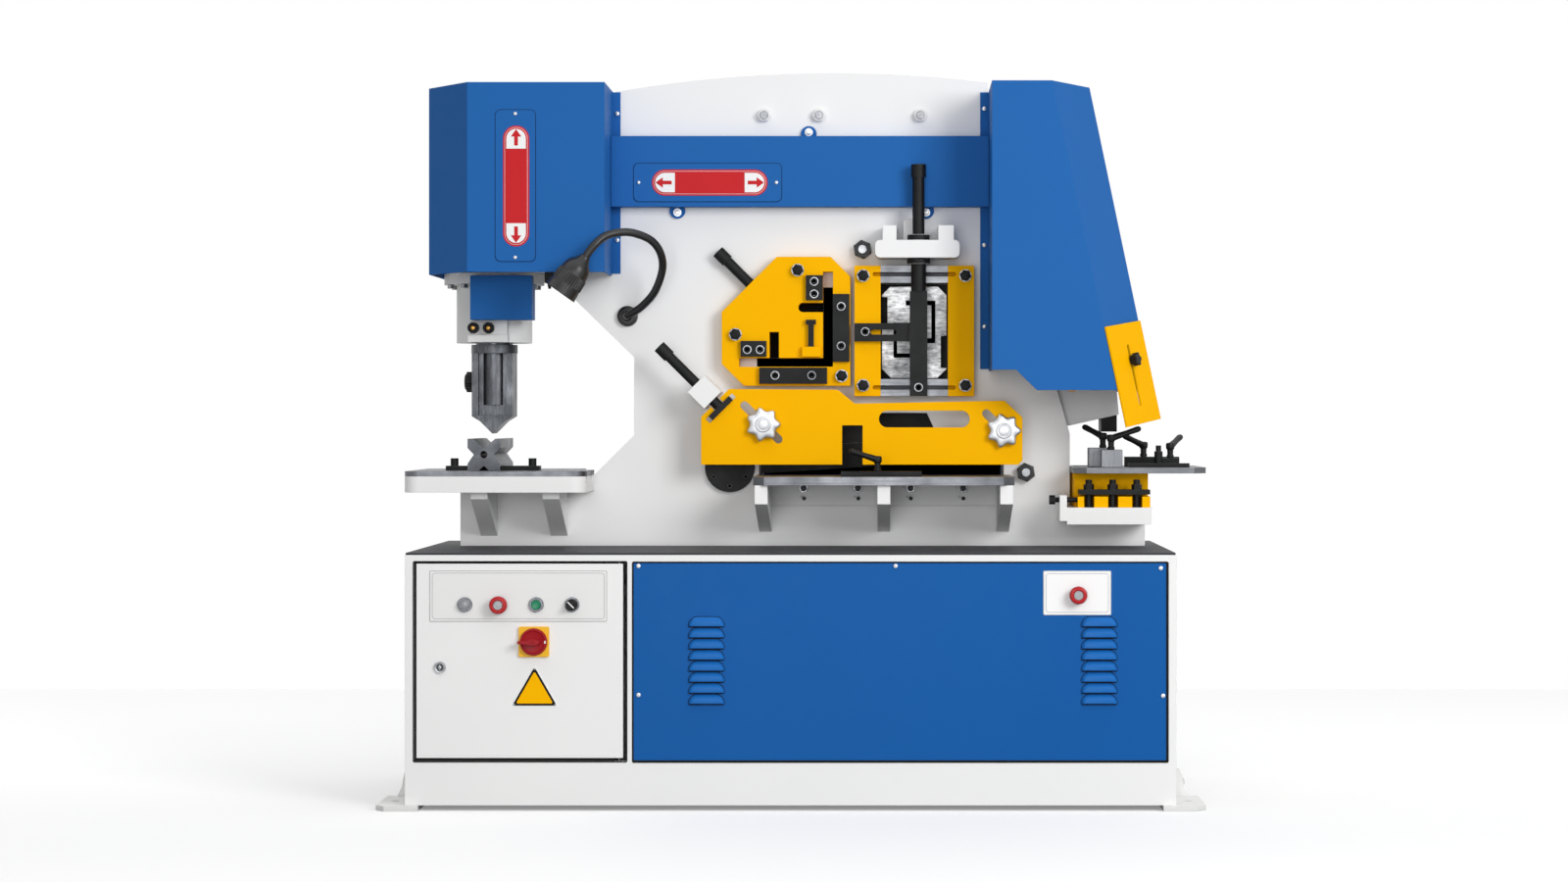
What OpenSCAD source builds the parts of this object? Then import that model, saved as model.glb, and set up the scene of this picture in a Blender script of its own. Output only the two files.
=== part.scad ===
// Hydraulic ironworker: punch, angle shear, section shear, plate shear and notcher on one frame.
// Millimetres. X runs to the right, Y to the back, Z up from the floor.

/* [Base cabinet] */
// Width of the cabinet
cab_w = 1772; // [1740:1:1840]
// Depth of the cabinet
cab_d = 700; // [640:1:760]
// Height of the cabinet above its feet
cab_h = 575; // [540:1:640]
// Thickness of the cabinet walls
cab_wall = 6; // [4:1:8]
// Depth of the rails and posts round the front openings
front_depth = 22; // [22:1:30]
// Height of the rail above the openings
rail_h = 16; // [14:1:24]
// Height of the plinth below the openings
plinth_h = 101; // [80:1:120]
// Width of the outer posts
post_w = 21; // [18:1:30]
// Width of the post between the door and the panel
divider_w = 14; // [12:1:24]
// Width of the door opening
door_open_w = 488; // [470:1:520]
// Distance of the enclosure's back wall behind the front
enclosure_d = 250; // [220:1:280]
// Thickness of the deck plate
deck_t = 5; // [3:1:8]
// Step of the deck plate inside the cabinet edge
deck_inset = 2; // [0:1:10]

/* [Anchor feet] */
// Thickness of a foot plate
foot_t = 12; // [10:1:20]
// Reach of a foot beyond the cabinet side
foot_reach = 68; // [60:1:90]
// Width of a foot under the cabinet
foot_under = 31; // [20:1:50]
// Length of a foot
foot_l = 200; // [160:1:240]
// Reach of a foot beyond the cabinet front
foot_front = 15; // [0:1:30]
// Corner cut of a foot
foot_cut = 22; // [10:1:30]
// Height of the upright gusset on a foot
foot_gusset_h = 64; // [40:1:90]
// Width of the gusset
foot_gusset_w = 34; // [24:1:50]
// Thickness of the gusset
foot_gusset_t = 12; // [8:1:16]
// Diameter of an anchor hole
anchor_d = 18; // [14:1:22]

/* [Door and controls] */
// Gap at the door's free side
door_gap = 6; // [4:1:8]
// Gap at the door's pivot side
pivot_gap = 8; // [7:1:12]
// Gap under the door
door_low_gap = 8; // [4:1:12]
// Gap above the door
door_top_gap = 4; // [3:1:8]
// Thickness of the door
door_t = 20; // [18:1:21]
// Thickness of the door sheet
door_sheet = 2.5; // [2:0.5:4]
// Width of the door's folded rim
door_rim = 18; // [16:1:26]
// Diameter of the pivot pins
pin_d = 8; // [6:1:8]
// Inset of the pivot pins from the door edge
pin_inset = 9; // [7:1:9]
// Depth of a pivot pin in its hole
pin_depth = 12; // [8:1:12]
// Drop of the button row below the door top
button_drop = 94; // [80:1:110]
// Button places from the door's free edge: lamp, stop, start, selector
button_x = [111, 190, 275, 357];
// Place of the main switch from the door's free edge
switch_x = 270; // [240:1:300]
// Drop of the main switch below the door top
switch_drop = 179; // [170:1:200]
// Side of the main switch plate
switch_side = 65; // [60:1:70]
// Place of the lock from the door's free edge
lock_x = 54; // [40:1:60]
// Height of the lock above the door's lower edge
lock_rise = 208; // [150:1:260]
// Diameter of a stop button
stop_d = 40; // [36:1:42]
// Diameter of the start button
start_d = 22; // [18:1:24]
// Distance of the panel stop button from the panel's right edge
panel_stop_x = 203; // [150:1:240]
// Drop of the panel stop button below the panel top
panel_stop_drop = 73; // [50:1:120]

/* [Front panel] */
// Thickness of the panel sheet
panel_t = 3; // [2:0.5:4]
// Gap round the panel
panel_gap = 2.5; // [1:0.5:4]
// Width of the lip behind the panel
panel_lip = 15; // [10:1:20]
// Number of louvres in a column
louvre_n = 8; // [4:1:9]
// Pitch of the louvres
louvre_pitch = 25.4; // [22:0.2:28]
// Width of a louvre
louvre_w = 83; // [60:1:90]
// Height of a louvre
louvre_h = 22; // [16:1:24]
// Reach of a louvre
louvre_reach = 9; // [6:1:12]
// Middles of the two louvre columns from the panel's left and right edges
louvre_x = [167, 154];
// Height of the lowest louvre above the panel's lower edge
louvre_rise = 130; // [100:1:160]

/* [Frame plates] */
// Distance of the frame's front face behind the cabinet front
frame_setback = 390; // [370:1:400]
// Thickness of a frame plate
plate_t = 30; // [25:1:36]
// Gap between the frame plates
plate_gap = 140; // [134:1:160]
// Left end of the frame foot
frame_left = -812; // [-840:1:-780]
// Right end of the notcher jaw
jaw_x = 846; // [830:1:870]
// Height of the notcher jaw above the deck
jaw_h = 57; // [45:1:60]
// Right edge of the frame below the cylinder cover
frame_right = 664; // [655:1:670]
// Height of the seat for the punch table
table_seat_h = 134; // [120:1:150]
// Left edge of the column behind the throat
throat_x = -391; // [-410:1:-380]
// Height where the throat's straight back begins
throat_low_h = 268; // [255:1:280]
// Height where the throat's straight back ends
throat_high_h = 457; // [440:1:470]
// Height of the nose's lower face
nose_h = 661; // [650:1:680]
// Left end of the nose
nose_x = -868; // [-874:1:-860]
// Crown of the frame above the deck
crown_h = 1144; // [1130:1:1160]
// Place of the crown
crown_x = 90; // [40:1:140]
// Radius of the crown
crown_r = 3100; // [2600:10:4000]
// Places of the top tie bolts
tie_x = [-76, 57, 302];
// Height of the top tie bolts above the deck
tie_h = 1042; // [1030:1:1050]
// Diameter of the top tie bolts
tie_d = 20; // [16:1:24]
// Diameter of the two large ties
big_tie_d = 26; // [22:1:30]

/* [Shear beam] */
// Place of the beam pivot
pivot_x = -159; // [-165:1:-150]
// Height of the beam pivot above the deck
pivot_h = 190; // [186:1:196]
// Diameter of the pivot shaft
pivot_d = 90; // [70:1:94]
// Diameter of the pivot caps
pivot_cap_d = 120; // [110:1:126]
// Thickness of the pivot caps
pivot_cap_t = 12; // [8:1:16]
// Wall of the pivot bush
bush_wall = 10; // [6:1:12]
// Side clearance of the beam between the plates
beam_side = 10; // [8:1:14]
// Height of the beam's top edge above the deck
beam_top_h = 684; // [675:1:688]
// Length of the plate blades
blade_l = 585; // [540:1:590]
// Depth of the plate blades
blade_depth = 60; // [50:1:64]
// Rise of the moving blade over its length
blade_rise = 38; // [30:1:44]
// Diameter of the rod pin
rod_pin_d = 40; // [34:1:44]
// Place of the rod pin
rod_pin_x = 672; // [668:1:676]
// Height of the rod pin above the deck
rod_pin_h = 393; // [388:1:398]
// Place of the trunnion pin
trunnion_x = 545; // [541:1:549]
// Height of the trunnion pin above the deck
trunnion_h = 998; // [990:1:1004]
// Diameter of the trunnion pin
trunnion_d = 50; // [40:1:54]
// Outer diameter of the shear cylinder
shear_cyl_d = 124; // [110:1:128]
// Diameter of the piston rod
rod_d = 60; // [50:1:64]

/* [Covers] */
// Thickness of the cover sheet
sheet_t = 3; // [2:0.5:4]
// Reach of the punch cover to the left of the ram axis
punch_cover_left = 139; // [137:1:148]
// Right end of the punch cover
punch_cover_right = -445; // [-455:1:-440]
// Width of the punch cover's slanted corner
punch_cover_slant = 112; // [90:1:130]
// Reach of the punch cover in front of the frame
punch_cover_reach = 198; // [180:1:215]
// Depth of the slanted corner
punch_slant_depth = 150; // [120:1:160]
// Height of the punch cover's lower edge above the deck
punch_cover_h = 654; // [645:1:660]
// Height of the covers' top above the deck
cover_top_h = 1102; // [1098:1:1106]
// Left end of the cylinder cover
cyl_cover_left = 468; // [460:1:475]
// Place of the cylinder cover's fold at its top
cyl_fold_x = 608; // [600:1:616]
// Reach of the cylinder cover in front of the frame
cyl_cover_reach = 235; // [220:1:245]
// Width of the cylinder cover's slanted corner
cyl_slant = 97; // [80:1:100]
// Depth of the slanted corner
cyl_slant_depth = 163; // [140:1:180]
// Height of the cylinder cover's lower edge above the deck
cyl_cover_h = 375; // [368:1:382]
// Reach of the covers behind the frame
cover_back = 40; // [30:1:50]
// Depth of the hood behind the shears
hood_depth = 150; // [120:1:200]
// Width of the covers' mounting flanges
flange_w = 21; // [16:1:26]
// Reach of the bridge cover in front of the frame
bridge_reach = 40; // [36:1:44]
// Height of the bridge cover's lower edge above the deck
bridge_h = 819; // [810:1:830]
// Height of the bridge cover
bridge_tall = 170; // [150:1:180]

/* [Punch] */
// Place of the ram axis
ram_x = -742; // [-748:1:-736]
// Diameter of the ram
ram_d = 90; // [80:1:96]
// Diameter of the cylinder barrel between the plates
barrel_d = 132; // [124:1:133]
// Diameter of the cylinder flange
cyl_flange_d = 244; // [230:1:248]
// Thickness of the cylinder flange
cyl_flange_t = 26; // [20:1:30]
// Diameter of the cylinder nose
cyl_nose_d = 184; // [170:1:190]
// Length of the cylinder nose below the flange
cyl_nose_l = 142; // [130:1:150]
// Length of the barrel above the flange
barrel_l = 300; // [280:1:330]
// Gap between the nose and the tool collar
collar_gap = 4.5; // [3:0.5:8]
// Diameter of the tool collar
collar_d = 113; // [105:1:118]
// Height of the tool collar
collar_h = 21; // [18:1:26]
// Width of the tool body
tool_w = 100; // [90:1:104]
// Depth of the tool body
tool_depth = 90; // [80:1:100]
// Height of the tool body
tool_h = 166; // [150:1:168]
// Height of the punch blade below the tool body
tool_tip_h = 30; // [26:1:32]
// Left end of the punch table
table_left = -917; // [-930:1:-900]
// Right end of the punch table
table_right = -488; // [-500:1:-480]
// Reach of the punch table in front of the frame
table_reach = 222; // [200:1:240]
// Height of the table apron
apron_h = 38; // [32:1:46]
// Thickness of the table top
table_top_t = 12; // [10:1:16]
// Width of a table slot
tslot_w = 16; // [12:1:20]
// Places of the two table slots behind the table's front edge
tslot_in = [42, 150];
// Distances of the die's clamp bolts from the ram axis
clamp_bolt = [-74, 113];
// Side of the vee die
vee_w = 78; // [70:1:84]
// Height of the vee die
vee_h = 76; // [74:1:78]

/* [Angle shear] */
// Place of the inner corner of the angle slots
angle_x = 91; // [87:1:94]
// Height of the inner corner above the deck
angle_h = 433; // [430:1:437]
// Length of the flat slot
angle_run = 226; // [200:1:230]
// Length of the upright slot
angle_rise = 229; // [200:1:232]
// Width of the upright slot
angle_slot = 24; // [20:1:28]
// Thickness of the face plate
angle_t = 40; // [36:1:46]
// Border of the face plate beyond the slots
angle_border = 42; // [38:1:46]
// Diameter of the clamp screws
clamp_screw_d = 25; // [20:1:27]

/* [Section shear] */
// Middle of the section shear
section_x = 287; // [284:1:290]
// Middle height of the section shear above the deck
section_h = 519; // [516:1:522]
// Width of the section plate
section_w = 288; // [284:1:294]
// Height of the section plate
section_tall = 314; // [300:1:320]
// Width of the section window
window_w = 162; // [150:1:166]
// Height of the section window
window_tall = 231; // [220:1:236]
// Thickness of the section plate
section_t = 50; // [44:1:54]
// Diameter of the upright screw
section_screw_d = 29; // [24:1:32]
// Width of the clamp bar
bar_w = 42; // [36:1:46]
// Height of the screw bracket's lower face above the section plate
bracket_rise = 17; // [15:1:24]
// Height of the screw bracket
bracket_tall = 42; // [34:1:46]

/* [Plate shear] */
// Left end of the shear table
shear_left = -92; // [-96:1:-88]
// Right end of the shear table
shear_right = 520; // [515:1:526]
// Height of the shear table above the deck
shear_h = 172; // [168:1:176]
// Reach of the shear table in front of the frame
shear_reach = 275; // [250:1:290]
// Thickness of the shear table
shear_t = 20; // [16:1:24]
// Thickness of the guard
guard_t = 8; // [6:1:10]
// Distance of the guard's front face from the frame
guard_reach = 100; // [95:1:106]
// Height of the guard's lower edge above the shear table
guard_rise = 26; // [24:1:32]
// Places of the star knobs
star_x = [-74, 500];
// Heights of the star knobs above the shear table
star_rise = [122, 107];
// Diameter of a star knob
star_d = 80; // [70:1:84]
// Diameter of the knob studs
stud_d = 16; // [12:1:17]
// Length of the gauge bar
gauge_l = 190; // [150:1:220]

/* [Notcher] */
// Right end of the notcher table
notch_right = 980; // [960:1:990]
// Height of the notcher table above the deck
notch_h = 192; // [188:1:196]
// Thickness of the notcher table
notch_t = 14; // [12:1:18]
// Reach of the notcher table in front of the frame
notch_reach = 160; // [150:1:175]
// Thickness of the notcher shelf
notch_shelf_t = 40; // [34:1:44]
// Right end of the notcher die
die_right = 846; // [836:1:850]
// Length of a clamp lever
lever_l = 70; // [60:1:80]
// Width of the notcher guard
notch_guard_w = 186; // [160:1:188]
// Length of the notcher guard
notch_guard_l = 241; // [225:1:250]
// Thickness of the notcher guard
notch_guard_t = 5; // [4:0.5:6]

/* [Work lamp] */
// Place of the lamp base
lamp_x = -407; // [-412:1:-402]
// Height of the lamp base above the deck
lamp_h = 556; // [550:1:562]
// Diameter of the lamp base
lamp_base_d = 50; // [44:1:54]
// Diameter of the gooseneck
neck_d = 19; // [16:1:20]
// Diameter of the lamp mouth
lamp_d = 80; // [70:1:84]
// Length of the lamp head
lamp_l = 98; // [90:1:110]

/* [Hidden] */
$fn = 64;

// Clearances: a turning or sliding fit, and the gap between faces that pass each other
run_gap = 0.05;
slide_gap = 0.3;

// Levels and planes
cab_top = foot_t + cab_h;
deck_z = cab_top + deck_t;
cab_front = -cab_d/2;
face_y = cab_front + frame_setback;
front_y = [face_y, face_y + plate_t];
rear_y = [face_y + plate_t + plate_gap, face_y + 2*plate_t + plate_gap];
mid_y = face_y + plate_t + plate_gap/2;
beam_y = [front_y[1] + beam_side, rear_y[0] - beam_side];
cover_top_z = deck_z + cover_top_h;

// Openings of the cabinet front
open_z = [foot_t + plinth_h, cab_top - rail_h];
door_open_x = [-cab_w/2 + post_w, -cab_w/2 + post_w + door_open_w];
panel_open_x = [door_open_x[1] + divider_w, cab_w/2 - post_w];
door_x = [door_open_x[0] + door_gap, door_open_x[1] - pivot_gap];
door_z = [open_z[0] + door_low_gap, open_z[1] - door_top_gap];
door_y = [cab_front, cab_front + door_t];
pin_x = door_x[1] - pin_inset;
pin_y = cab_front + door_t/2;
panel_x = [panel_open_x[0] + panel_gap, panel_open_x[1] - panel_gap];
panel_z = [open_z[0] + panel_gap, open_z[1] - panel_gap];
button_z = door_z[1] - button_drop;
panel_stop = [panel_x[1] - panel_stop_x, panel_z[1] - panel_stop_drop];

// Beam geometry
pivot_z = deck_z + pivot_h;
rod_pin_z = deck_z + rod_pin_h;
trunnion_z = deck_z + trunnion_h;
rod_tilt = atan2(rod_pin_x - trunnion_x, trunnion_z - rod_pin_z);
shear_z = deck_z + shear_h;
blade_x = [pivot_x + pivot_d/2 + 29, pivot_x + pivot_d/2 + 29 + blade_l];

// Box between two limits on each axis
module span(x, y, z) {
  translate([x[0], y[0], z[0]]) cube([x[1] - x[0], y[1] - y[0], z[1] - z[0]]);
}

// Profile in X and Z, drawn out along Y
module plate_xz(y) {
  translate([0, y[1], 0]) rotate([90, 0, 0]) linear_extrude(y[1] - y[0]) children();
}

// Profile in Y and Z, drawn out along X
module plate_yz(x) {
  translate([x[0], 0, 0]) rotate([90, 0, 90]) linear_extrude(x[1] - x[0]) children();
}

// Round bar along Y
module rod_y(x, z, d, y) {
  translate([x, y[0], z]) rotate([-90, 0, 0]) cylinder(d = d, h = y[1] - y[0]);
}

// Hexagon along Y, measured over its corners
module hex_y(x, z, d, y) {
  translate([x, y[0], z]) rotate([-90, 0, 0]) cylinder(d = d, h = y[1] - y[0], $fn = 6);
}

// Round bar along Z
module rod_z(x, y, d, z) {
  translate([x, y, z[0]]) cylinder(d = d, h = z[1] - z[0]);
}

// Flat slot with round ends between two points
module slot_2d(a, b, w) {
  length = norm(b - a);
  translate(a) rotate(atan2(b[1] - a[1], b[0] - a[0])) {
    translate([0, -w/2]) square([length, w]);
    circle(d = w);
    translate([length, 0]) circle(d = w);
  }
}

// Rectangle between two corners
module rect_2d(x, z) {
  translate([x[0], z[0]]) square([x[1] - x[0], z[1] - z[0]]);
}

// Rectangle with rounded corners
module round_rect_2d(x, z, r) {
  rect_2d([x[0] + r, x[1] - r], z);
  rect_2d(x, [z[0] + r, z[1] - r]);
  for (u = [x[0] + r, x[1] - r], v = [z[0] + r, z[1] - r]) translate([u, v]) circle(r = r);
}

// Convex outline, counter-clockwise, moved inwards by t
function unit(v) = v/norm(v);
function inward(a, b) = let (d = unit(b - a)) [-d[1], d[0]];
function inset(p, t) = let (n = len(p)) [for (i = [0 : n - 1])
  let (u = inward(p[(i + n - 1) % n], p[i]), v = inward(p[i], p[(i + 1) % n]))
  p[i] + t*(u + v)/(1 + u*v)];

// Turns +Z to a direction
module aim(d) {
  rotate([0, acos(d[2]/norm(d)), atan2(d[1], d[0])]) children();
}

// BASE

enclosure_y = cab_front + enclosure_d;
pin_hole_d = pin_d + 2*run_gap;

module base_cabinet() {
  through = [cab_front - 1, cab_front + front_depth + 1];
  lip = panel_lip + panel_gap;
  color("whitesmoke") difference() {
    union() {
      difference() {
        span([-cab_w/2, cab_w/2], [cab_front, -cab_front], [foot_t, cab_top]);
        span([-cab_w/2 + cab_wall, cab_w/2 - cab_wall],
          [cab_front + front_depth, -cab_front - cab_wall],
          [foot_t + cab_wall, cab_top - cab_wall]);
      }
      // Walls of the electrical enclosure
      span([door_open_x[1], door_open_x[1] + cab_wall],
        [cab_front + front_depth, -cab_front - cab_wall], [foot_t, cab_top]);
      span([-cab_w/2, door_open_x[1]], [enclosure_y, enclosure_y + cab_wall],
        [foot_t, cab_top]);
    }
    span(door_open_x, through, open_z);
    span([panel_open_x[0] + lip, panel_open_x[1] - lip], through,
      [open_z[0] + lip, open_z[1] - lip]);
    span(panel_open_x, [cab_front - 1, cab_front + panel_t], open_z);
    for (z = [open_z[0] - pin_depth, open_z[1]])
      rod_z(pin_x, pin_y, pin_hole_d, [z, z + pin_depth]);
  }
}

// Foot plate with its gusset at the front right corner
foot_x = [cab_w/2 - foot_under, cab_w/2 + foot_reach];
foot_y = [cab_front - foot_front, cab_front - foot_front + foot_l];
anchor_x = cab_w/2 + foot_reach/2;
anchor_y = foot_y[0] + foot_l*0.5;

module foot() {
  difference() {
    union() {
      linear_extrude(foot_t) polygon([[foot_x[0], foot_y[0]], [foot_x[1] - foot_cut, foot_y[0]],
        [foot_x[1], foot_y[0] + foot_cut], [foot_x[1], foot_y[1]], [foot_x[0], foot_y[1]]]);
      plate_xz([foot_y[1] - foot_gusset_t, foot_y[1]]) polygon([[cab_w/2, foot_t],
        [cab_w/2 + foot_gusset_w + foot_cut/2, foot_t],
        [cab_w/2 + foot_gusset_w, foot_t + foot_cut],
        [cab_w/2 + foot_gusset_w - foot_cut/4, foot_t + foot_gusset_h - foot_cut/2],
        [cab_w/2 + foot_gusset_w - foot_cut/2, foot_t + foot_gusset_h],
        [cab_w/2, foot_t + foot_gusset_h]]);
    }
    rod_z(anchor_x, anchor_y, anchor_d, [-1, foot_t + 1]);
  }
}

module anchor_feet() {
  color("whitesmoke") for (i = [0, 1], j = [0, 1])
    mirror([i, 0, 0]) mirror([0, j, 0]) foot();
}

module deck_plate() {
  color("dimgray") span([-cab_w/2 + deck_inset, cab_w/2 - deck_inset],
    [cab_front, -cab_front], [cab_top, deck_z]);
}

// Pressed louvre with cut upper corners and its mouth below
louvre_skin = 1.2;
louvre_corner = 13;
function louvre_mid() = [panel_x[0] + louvre_x[0], panel_x[1] - louvre_x[1]];

module louvre(x, z) {
  intersection() {
    plate_yz([x - louvre_w/2, x + louvre_w/2]) polygon([[cab_front, z],
      [cab_front - louvre_reach, z], [cab_front - louvre_reach + louvre_skin, z + louvre_h*0.4],
      [cab_front, z + louvre_h]]);
    plate_xz([cab_front - louvre_reach, cab_front]) polygon([[x - louvre_w/2, z], [x + louvre_w/2, z],
      [x + louvre_w/2 - 2, z + louvre_h*0.5], [x + louvre_w/2 - louvre_corner, z + louvre_h],
      [x - louvre_w/2 + louvre_corner, z + louvre_h], [x - louvre_w/2 + 2, z + louvre_h*0.5]]);
  }
}

module louvre_mouth(x, z) {
  plate_yz([x - louvre_w/2 + louvre_corner, x + louvre_w/2 - louvre_corner])
    polygon([[cab_front + panel_t + 1, z - 1], [cab_front - louvre_reach + 2*louvre_skin, z - 1],
    [cab_front - louvre_reach + 2.5*louvre_skin, z + louvre_h*0.35],
    [cab_front - louvre_skin, z + louvre_h - 4*louvre_skin],
    [cab_front + panel_t + 1, z + louvre_h - 4*louvre_skin]]);
}

// Collar that guides a stop button, and the stop button itself
stop_stem_d = 16;
stop_collar_d = 34;
collar_reach = 6;
collar_back = 26;
stop_gap = 8;
stop_head_t = 14;

module stop_collar(x, z) {
  difference() {
    union() {
      rod_y(x, z, stop_collar_d, [cab_front - collar_reach, cab_front]);
      rod_y(x, z, stop_stem_d + 8, [cab_front - 1, cab_front + collar_back]);
    }
    rod_y(x, z, stop_stem_d + 2*slide_gap, [cab_front - collar_reach - 1,
      cab_front + collar_back + 1]);
  }
}

module stop_button(x, z) {
  head_y = cab_front - collar_reach - stop_gap;
  rod_y(x, z, stop_stem_d, [head_y - 1, cab_front + collar_back]);
  translate([x, head_y, z]) rotate([90, 0, 0]) rotate_extrude() polygon([[0, 0],
    [stop_d/2 - 2, 0], [stop_d/2, 3], [stop_d/2, stop_head_t - 4],
    [stop_d/2 - 4, stop_head_t - 1], [stop_d/4, stop_head_t], [0, stop_head_t]]);
}

module front_panel() {
  color("royalblue") difference() {
    union() {
      span(panel_x, [cab_front, cab_front + panel_t], panel_z);
      stop_collar(panel_stop[0], panel_stop[1]);
      for (x = louvre_mid(), i = [0 : louvre_n - 1])
        louvre(x, panel_z[0] + louvre_rise + i*louvre_pitch);
    }
    for (x = louvre_mid(), i = [0 : louvre_n - 1])
      louvre_mouth(x, panel_z[0] + louvre_rise + i*louvre_pitch);
    rod_y(panel_stop[0], panel_stop[1], stop_stem_d + 2*slide_gap,
      [cab_front - collar_reach - 1, cab_front + collar_back + 1]);
  }
}

module panel_stop_button() {
  color("firebrick") stop_button(panel_stop[0], panel_stop[1]);
}

// DOOR

control_hole_d = 30;
switch_stem_d = 30;
lock_stem_d = 16;
switch_at = [door_x[0] + switch_x, door_z[1] - switch_drop];
lock_at = [door_x[0] + lock_x, door_z[0] + lock_rise];

module electrical_door() {
  deep = [cab_front - 1, cab_front + door_t + 1];
  color("white") difference() {
    span(door_x, door_y, door_z);
    span([door_x[0] + door_rim, door_x[1] - door_rim],
      [cab_front + door_sheet, cab_front + door_t + 1],
      [door_z[0] + door_rim, door_z[1] - door_rim]);
    for (x = button_x) rod_y(door_x[0] + x, button_z, control_hole_d, deep);
    rod_y(switch_at[0], switch_at[1], switch_stem_d + 4, deep);
    rod_y(lock_at[0], lock_at[1], lock_stem_d + 2*slide_gap, deep);
    for (z = [door_z[0], door_z[1] - pin_depth])
      rod_z(pin_x, pin_y, pin_hole_d, [z - (z == door_z[0] ? 1 : 0), z + pin_depth]);
    rod_z(pin_x, pin_y, pin_hole_d, [door_z[1] - 1, door_z[1] + 1]);
  }
}

// Collar with a plain round bore in the door
module bezel(x, outer_d, bore_d) {
  difference() {
    union() {
      rod_y(x, button_z, outer_d, [cab_front - collar_reach, cab_front]);
      rod_y(x, button_z, control_hole_d, [cab_front - 1, cab_front + collar_back]);
    }
    rod_y(x, button_z, bore_d, [cab_front - collar_reach - 1, cab_front + collar_back + 1]);
  }
}

selector_d = 20;

module door_fittings() {
  color("silver") {
    // Pivot pins that turn in the rail and the plinth
    rod_z(pin_x, pin_y, pin_d, [open_z[0] - pin_depth + 1, door_z[0] + pin_depth - 1]);
    rod_z(pin_x, pin_y, pin_d, [door_z[1] - pin_depth + 1, open_z[1] + pin_depth - 1]);
    x = [for (b = button_x) door_x[0] + b];
    rod_y(x[0], button_z, control_hole_d + 3, [cab_front - collar_reach, cab_front]);
    rod_y(x[0], button_z, control_hole_d, [cab_front, cab_front + collar_back]);
    rod_y(x[0], button_z, start_d, [cab_front - 2*collar_reach, cab_front - collar_reach]);
    bezel(x[1], stop_collar_d, stop_stem_d + 2*slide_gap);
    bezel(x[2], control_hole_d + 3, start_d + 2*slide_gap);
    bezel(x[3], control_hole_d + 3, selector_d + 2*slide_gap);
    difference() {
      span([switch_at[0] - switch_side/2, switch_at[0] + switch_side/2],
        [cab_front - collar_reach, cab_front],
        [switch_at[1] - switch_side/2, switch_at[1] + switch_side/2]);
      rod_y(switch_at[0], switch_at[1], switch_stem_d + 2*slide_gap,
        [cab_front - collar_reach - 1, cab_front + 1]);
    }
  }
}

module door_stop_button() {
  color("firebrick") stop_button(door_x[0] + button_x[1], button_z);
}

start_reach = 5;

module start_button() {
  color("seagreen") translate([door_x[0] + button_x[2], cab_front - collar_reach - start_reach, button_z])
    rotate([-90, 0, 0]) {
      cylinder(d1 = start_d - 2, d2 = start_d, h = 1);
      translate([0, 0, 1]) cylinder(d = start_d, h = collar_back);
    }
}

module mode_selector() {
  x = door_x[0] + button_x[3];
  grip_y = [cab_front - collar_reach - 18, cab_front - collar_reach - slide_gap];
  color("black") {
    rod_y(x, button_z, selector_d, [grip_y[1] - 1, cab_front + collar_back]);
    rod_y(x, button_z, control_hole_d - 3, [grip_y[1] - 6, grip_y[1]]);
    translate([x, 0, button_z]) rotate([0, -45, 0])
      span([-control_hole_d/2 + 2, control_hole_d/2 - 2], grip_y, [-4.5, 4.5]);
  }
}

module main_switch_handle() {
  disc_y = [cab_front - collar_reach - 8, cab_front - collar_reach - slide_gap];
  color("firebrick") {
    rod_y(switch_at[0], switch_at[1], switch_stem_d, [disc_y[1] - 1, cab_front + collar_back]);
    rod_y(switch_at[0], switch_at[1], switch_side - 3, disc_y);
    translate([switch_at[0], 0, switch_at[1]])
      span([-switch_side/2 + 1, switch_side/2 - 8], [disc_y[0] - 20, disc_y[0] + 1], [-8, 8]);
  }
}

lock_tongue_l = 70;

module door_lock() {
  tongue_y = [cab_front + front_depth + 1, cab_front + front_depth + 4];
  color("silver") {
    difference() {
      rod_y(lock_at[0], lock_at[1], lock_stem_d + 10, [cab_front - 4, cab_front - slide_gap]);
      span([lock_at[0] - 1.5, lock_at[0] + 1.5], [cab_front - 5, cab_front - 2.5],
        [lock_at[1] - 7, lock_at[1] + 7]);
    }
    rod_y(lock_at[0], lock_at[1], lock_stem_d, [cab_front - slide_gap, tongue_y[1]]);
    span([lock_at[0] - 8, lock_at[0] + 8], tongue_y,
      [lock_at[1] - lock_tongue_l, lock_at[1]]);
  }
}

// INSIDE THE CABINET

module electrical_gear() {
  back = enclosure_y;
  gear_x = [door_open_x[0] + 25, door_open_x[1] - 25];
  gear_z = [open_z[0] + 30, open_z[1] - 40];
  color("gainsboro") {
    span(gear_x, [back - 3, back], gear_z);
    // Contactors and relays on a rail
    for (i = [0 : 4]) {
      x = gear_x[0] + 40 + i*62;
      span([x, x + 52], [back - 85, back - 3], [gear_z[1] - 130, gear_z[1] - 45]);
      span([x + 8, x + 44], [back - 95, back - 85], [gear_z[1] - 110, gear_z[1] - 65]);
    }
    // Transformer and terminal row
    span([gear_x[0] + 40, gear_x[0] + 140], [back - 90, back - 3], [gear_z[0] + 40, gear_z[0] + 125]);
    for (i = [0 : 11]) span([gear_x[0] + 180 + i*18, gear_x[0] + 194 + i*18],
      [back - 45, back - 3], [gear_z[0] + 60, gear_z[0] + 110]);
  }
}

tank_x = [panel_open_x[0] + 60, panel_open_x[0] + 620];
tank_y = [cab_front + 90, -cab_front - 120];
tank_z = [foot_t + cab_wall, foot_t + cab_wall + 250];
lid_t = 8;

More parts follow.
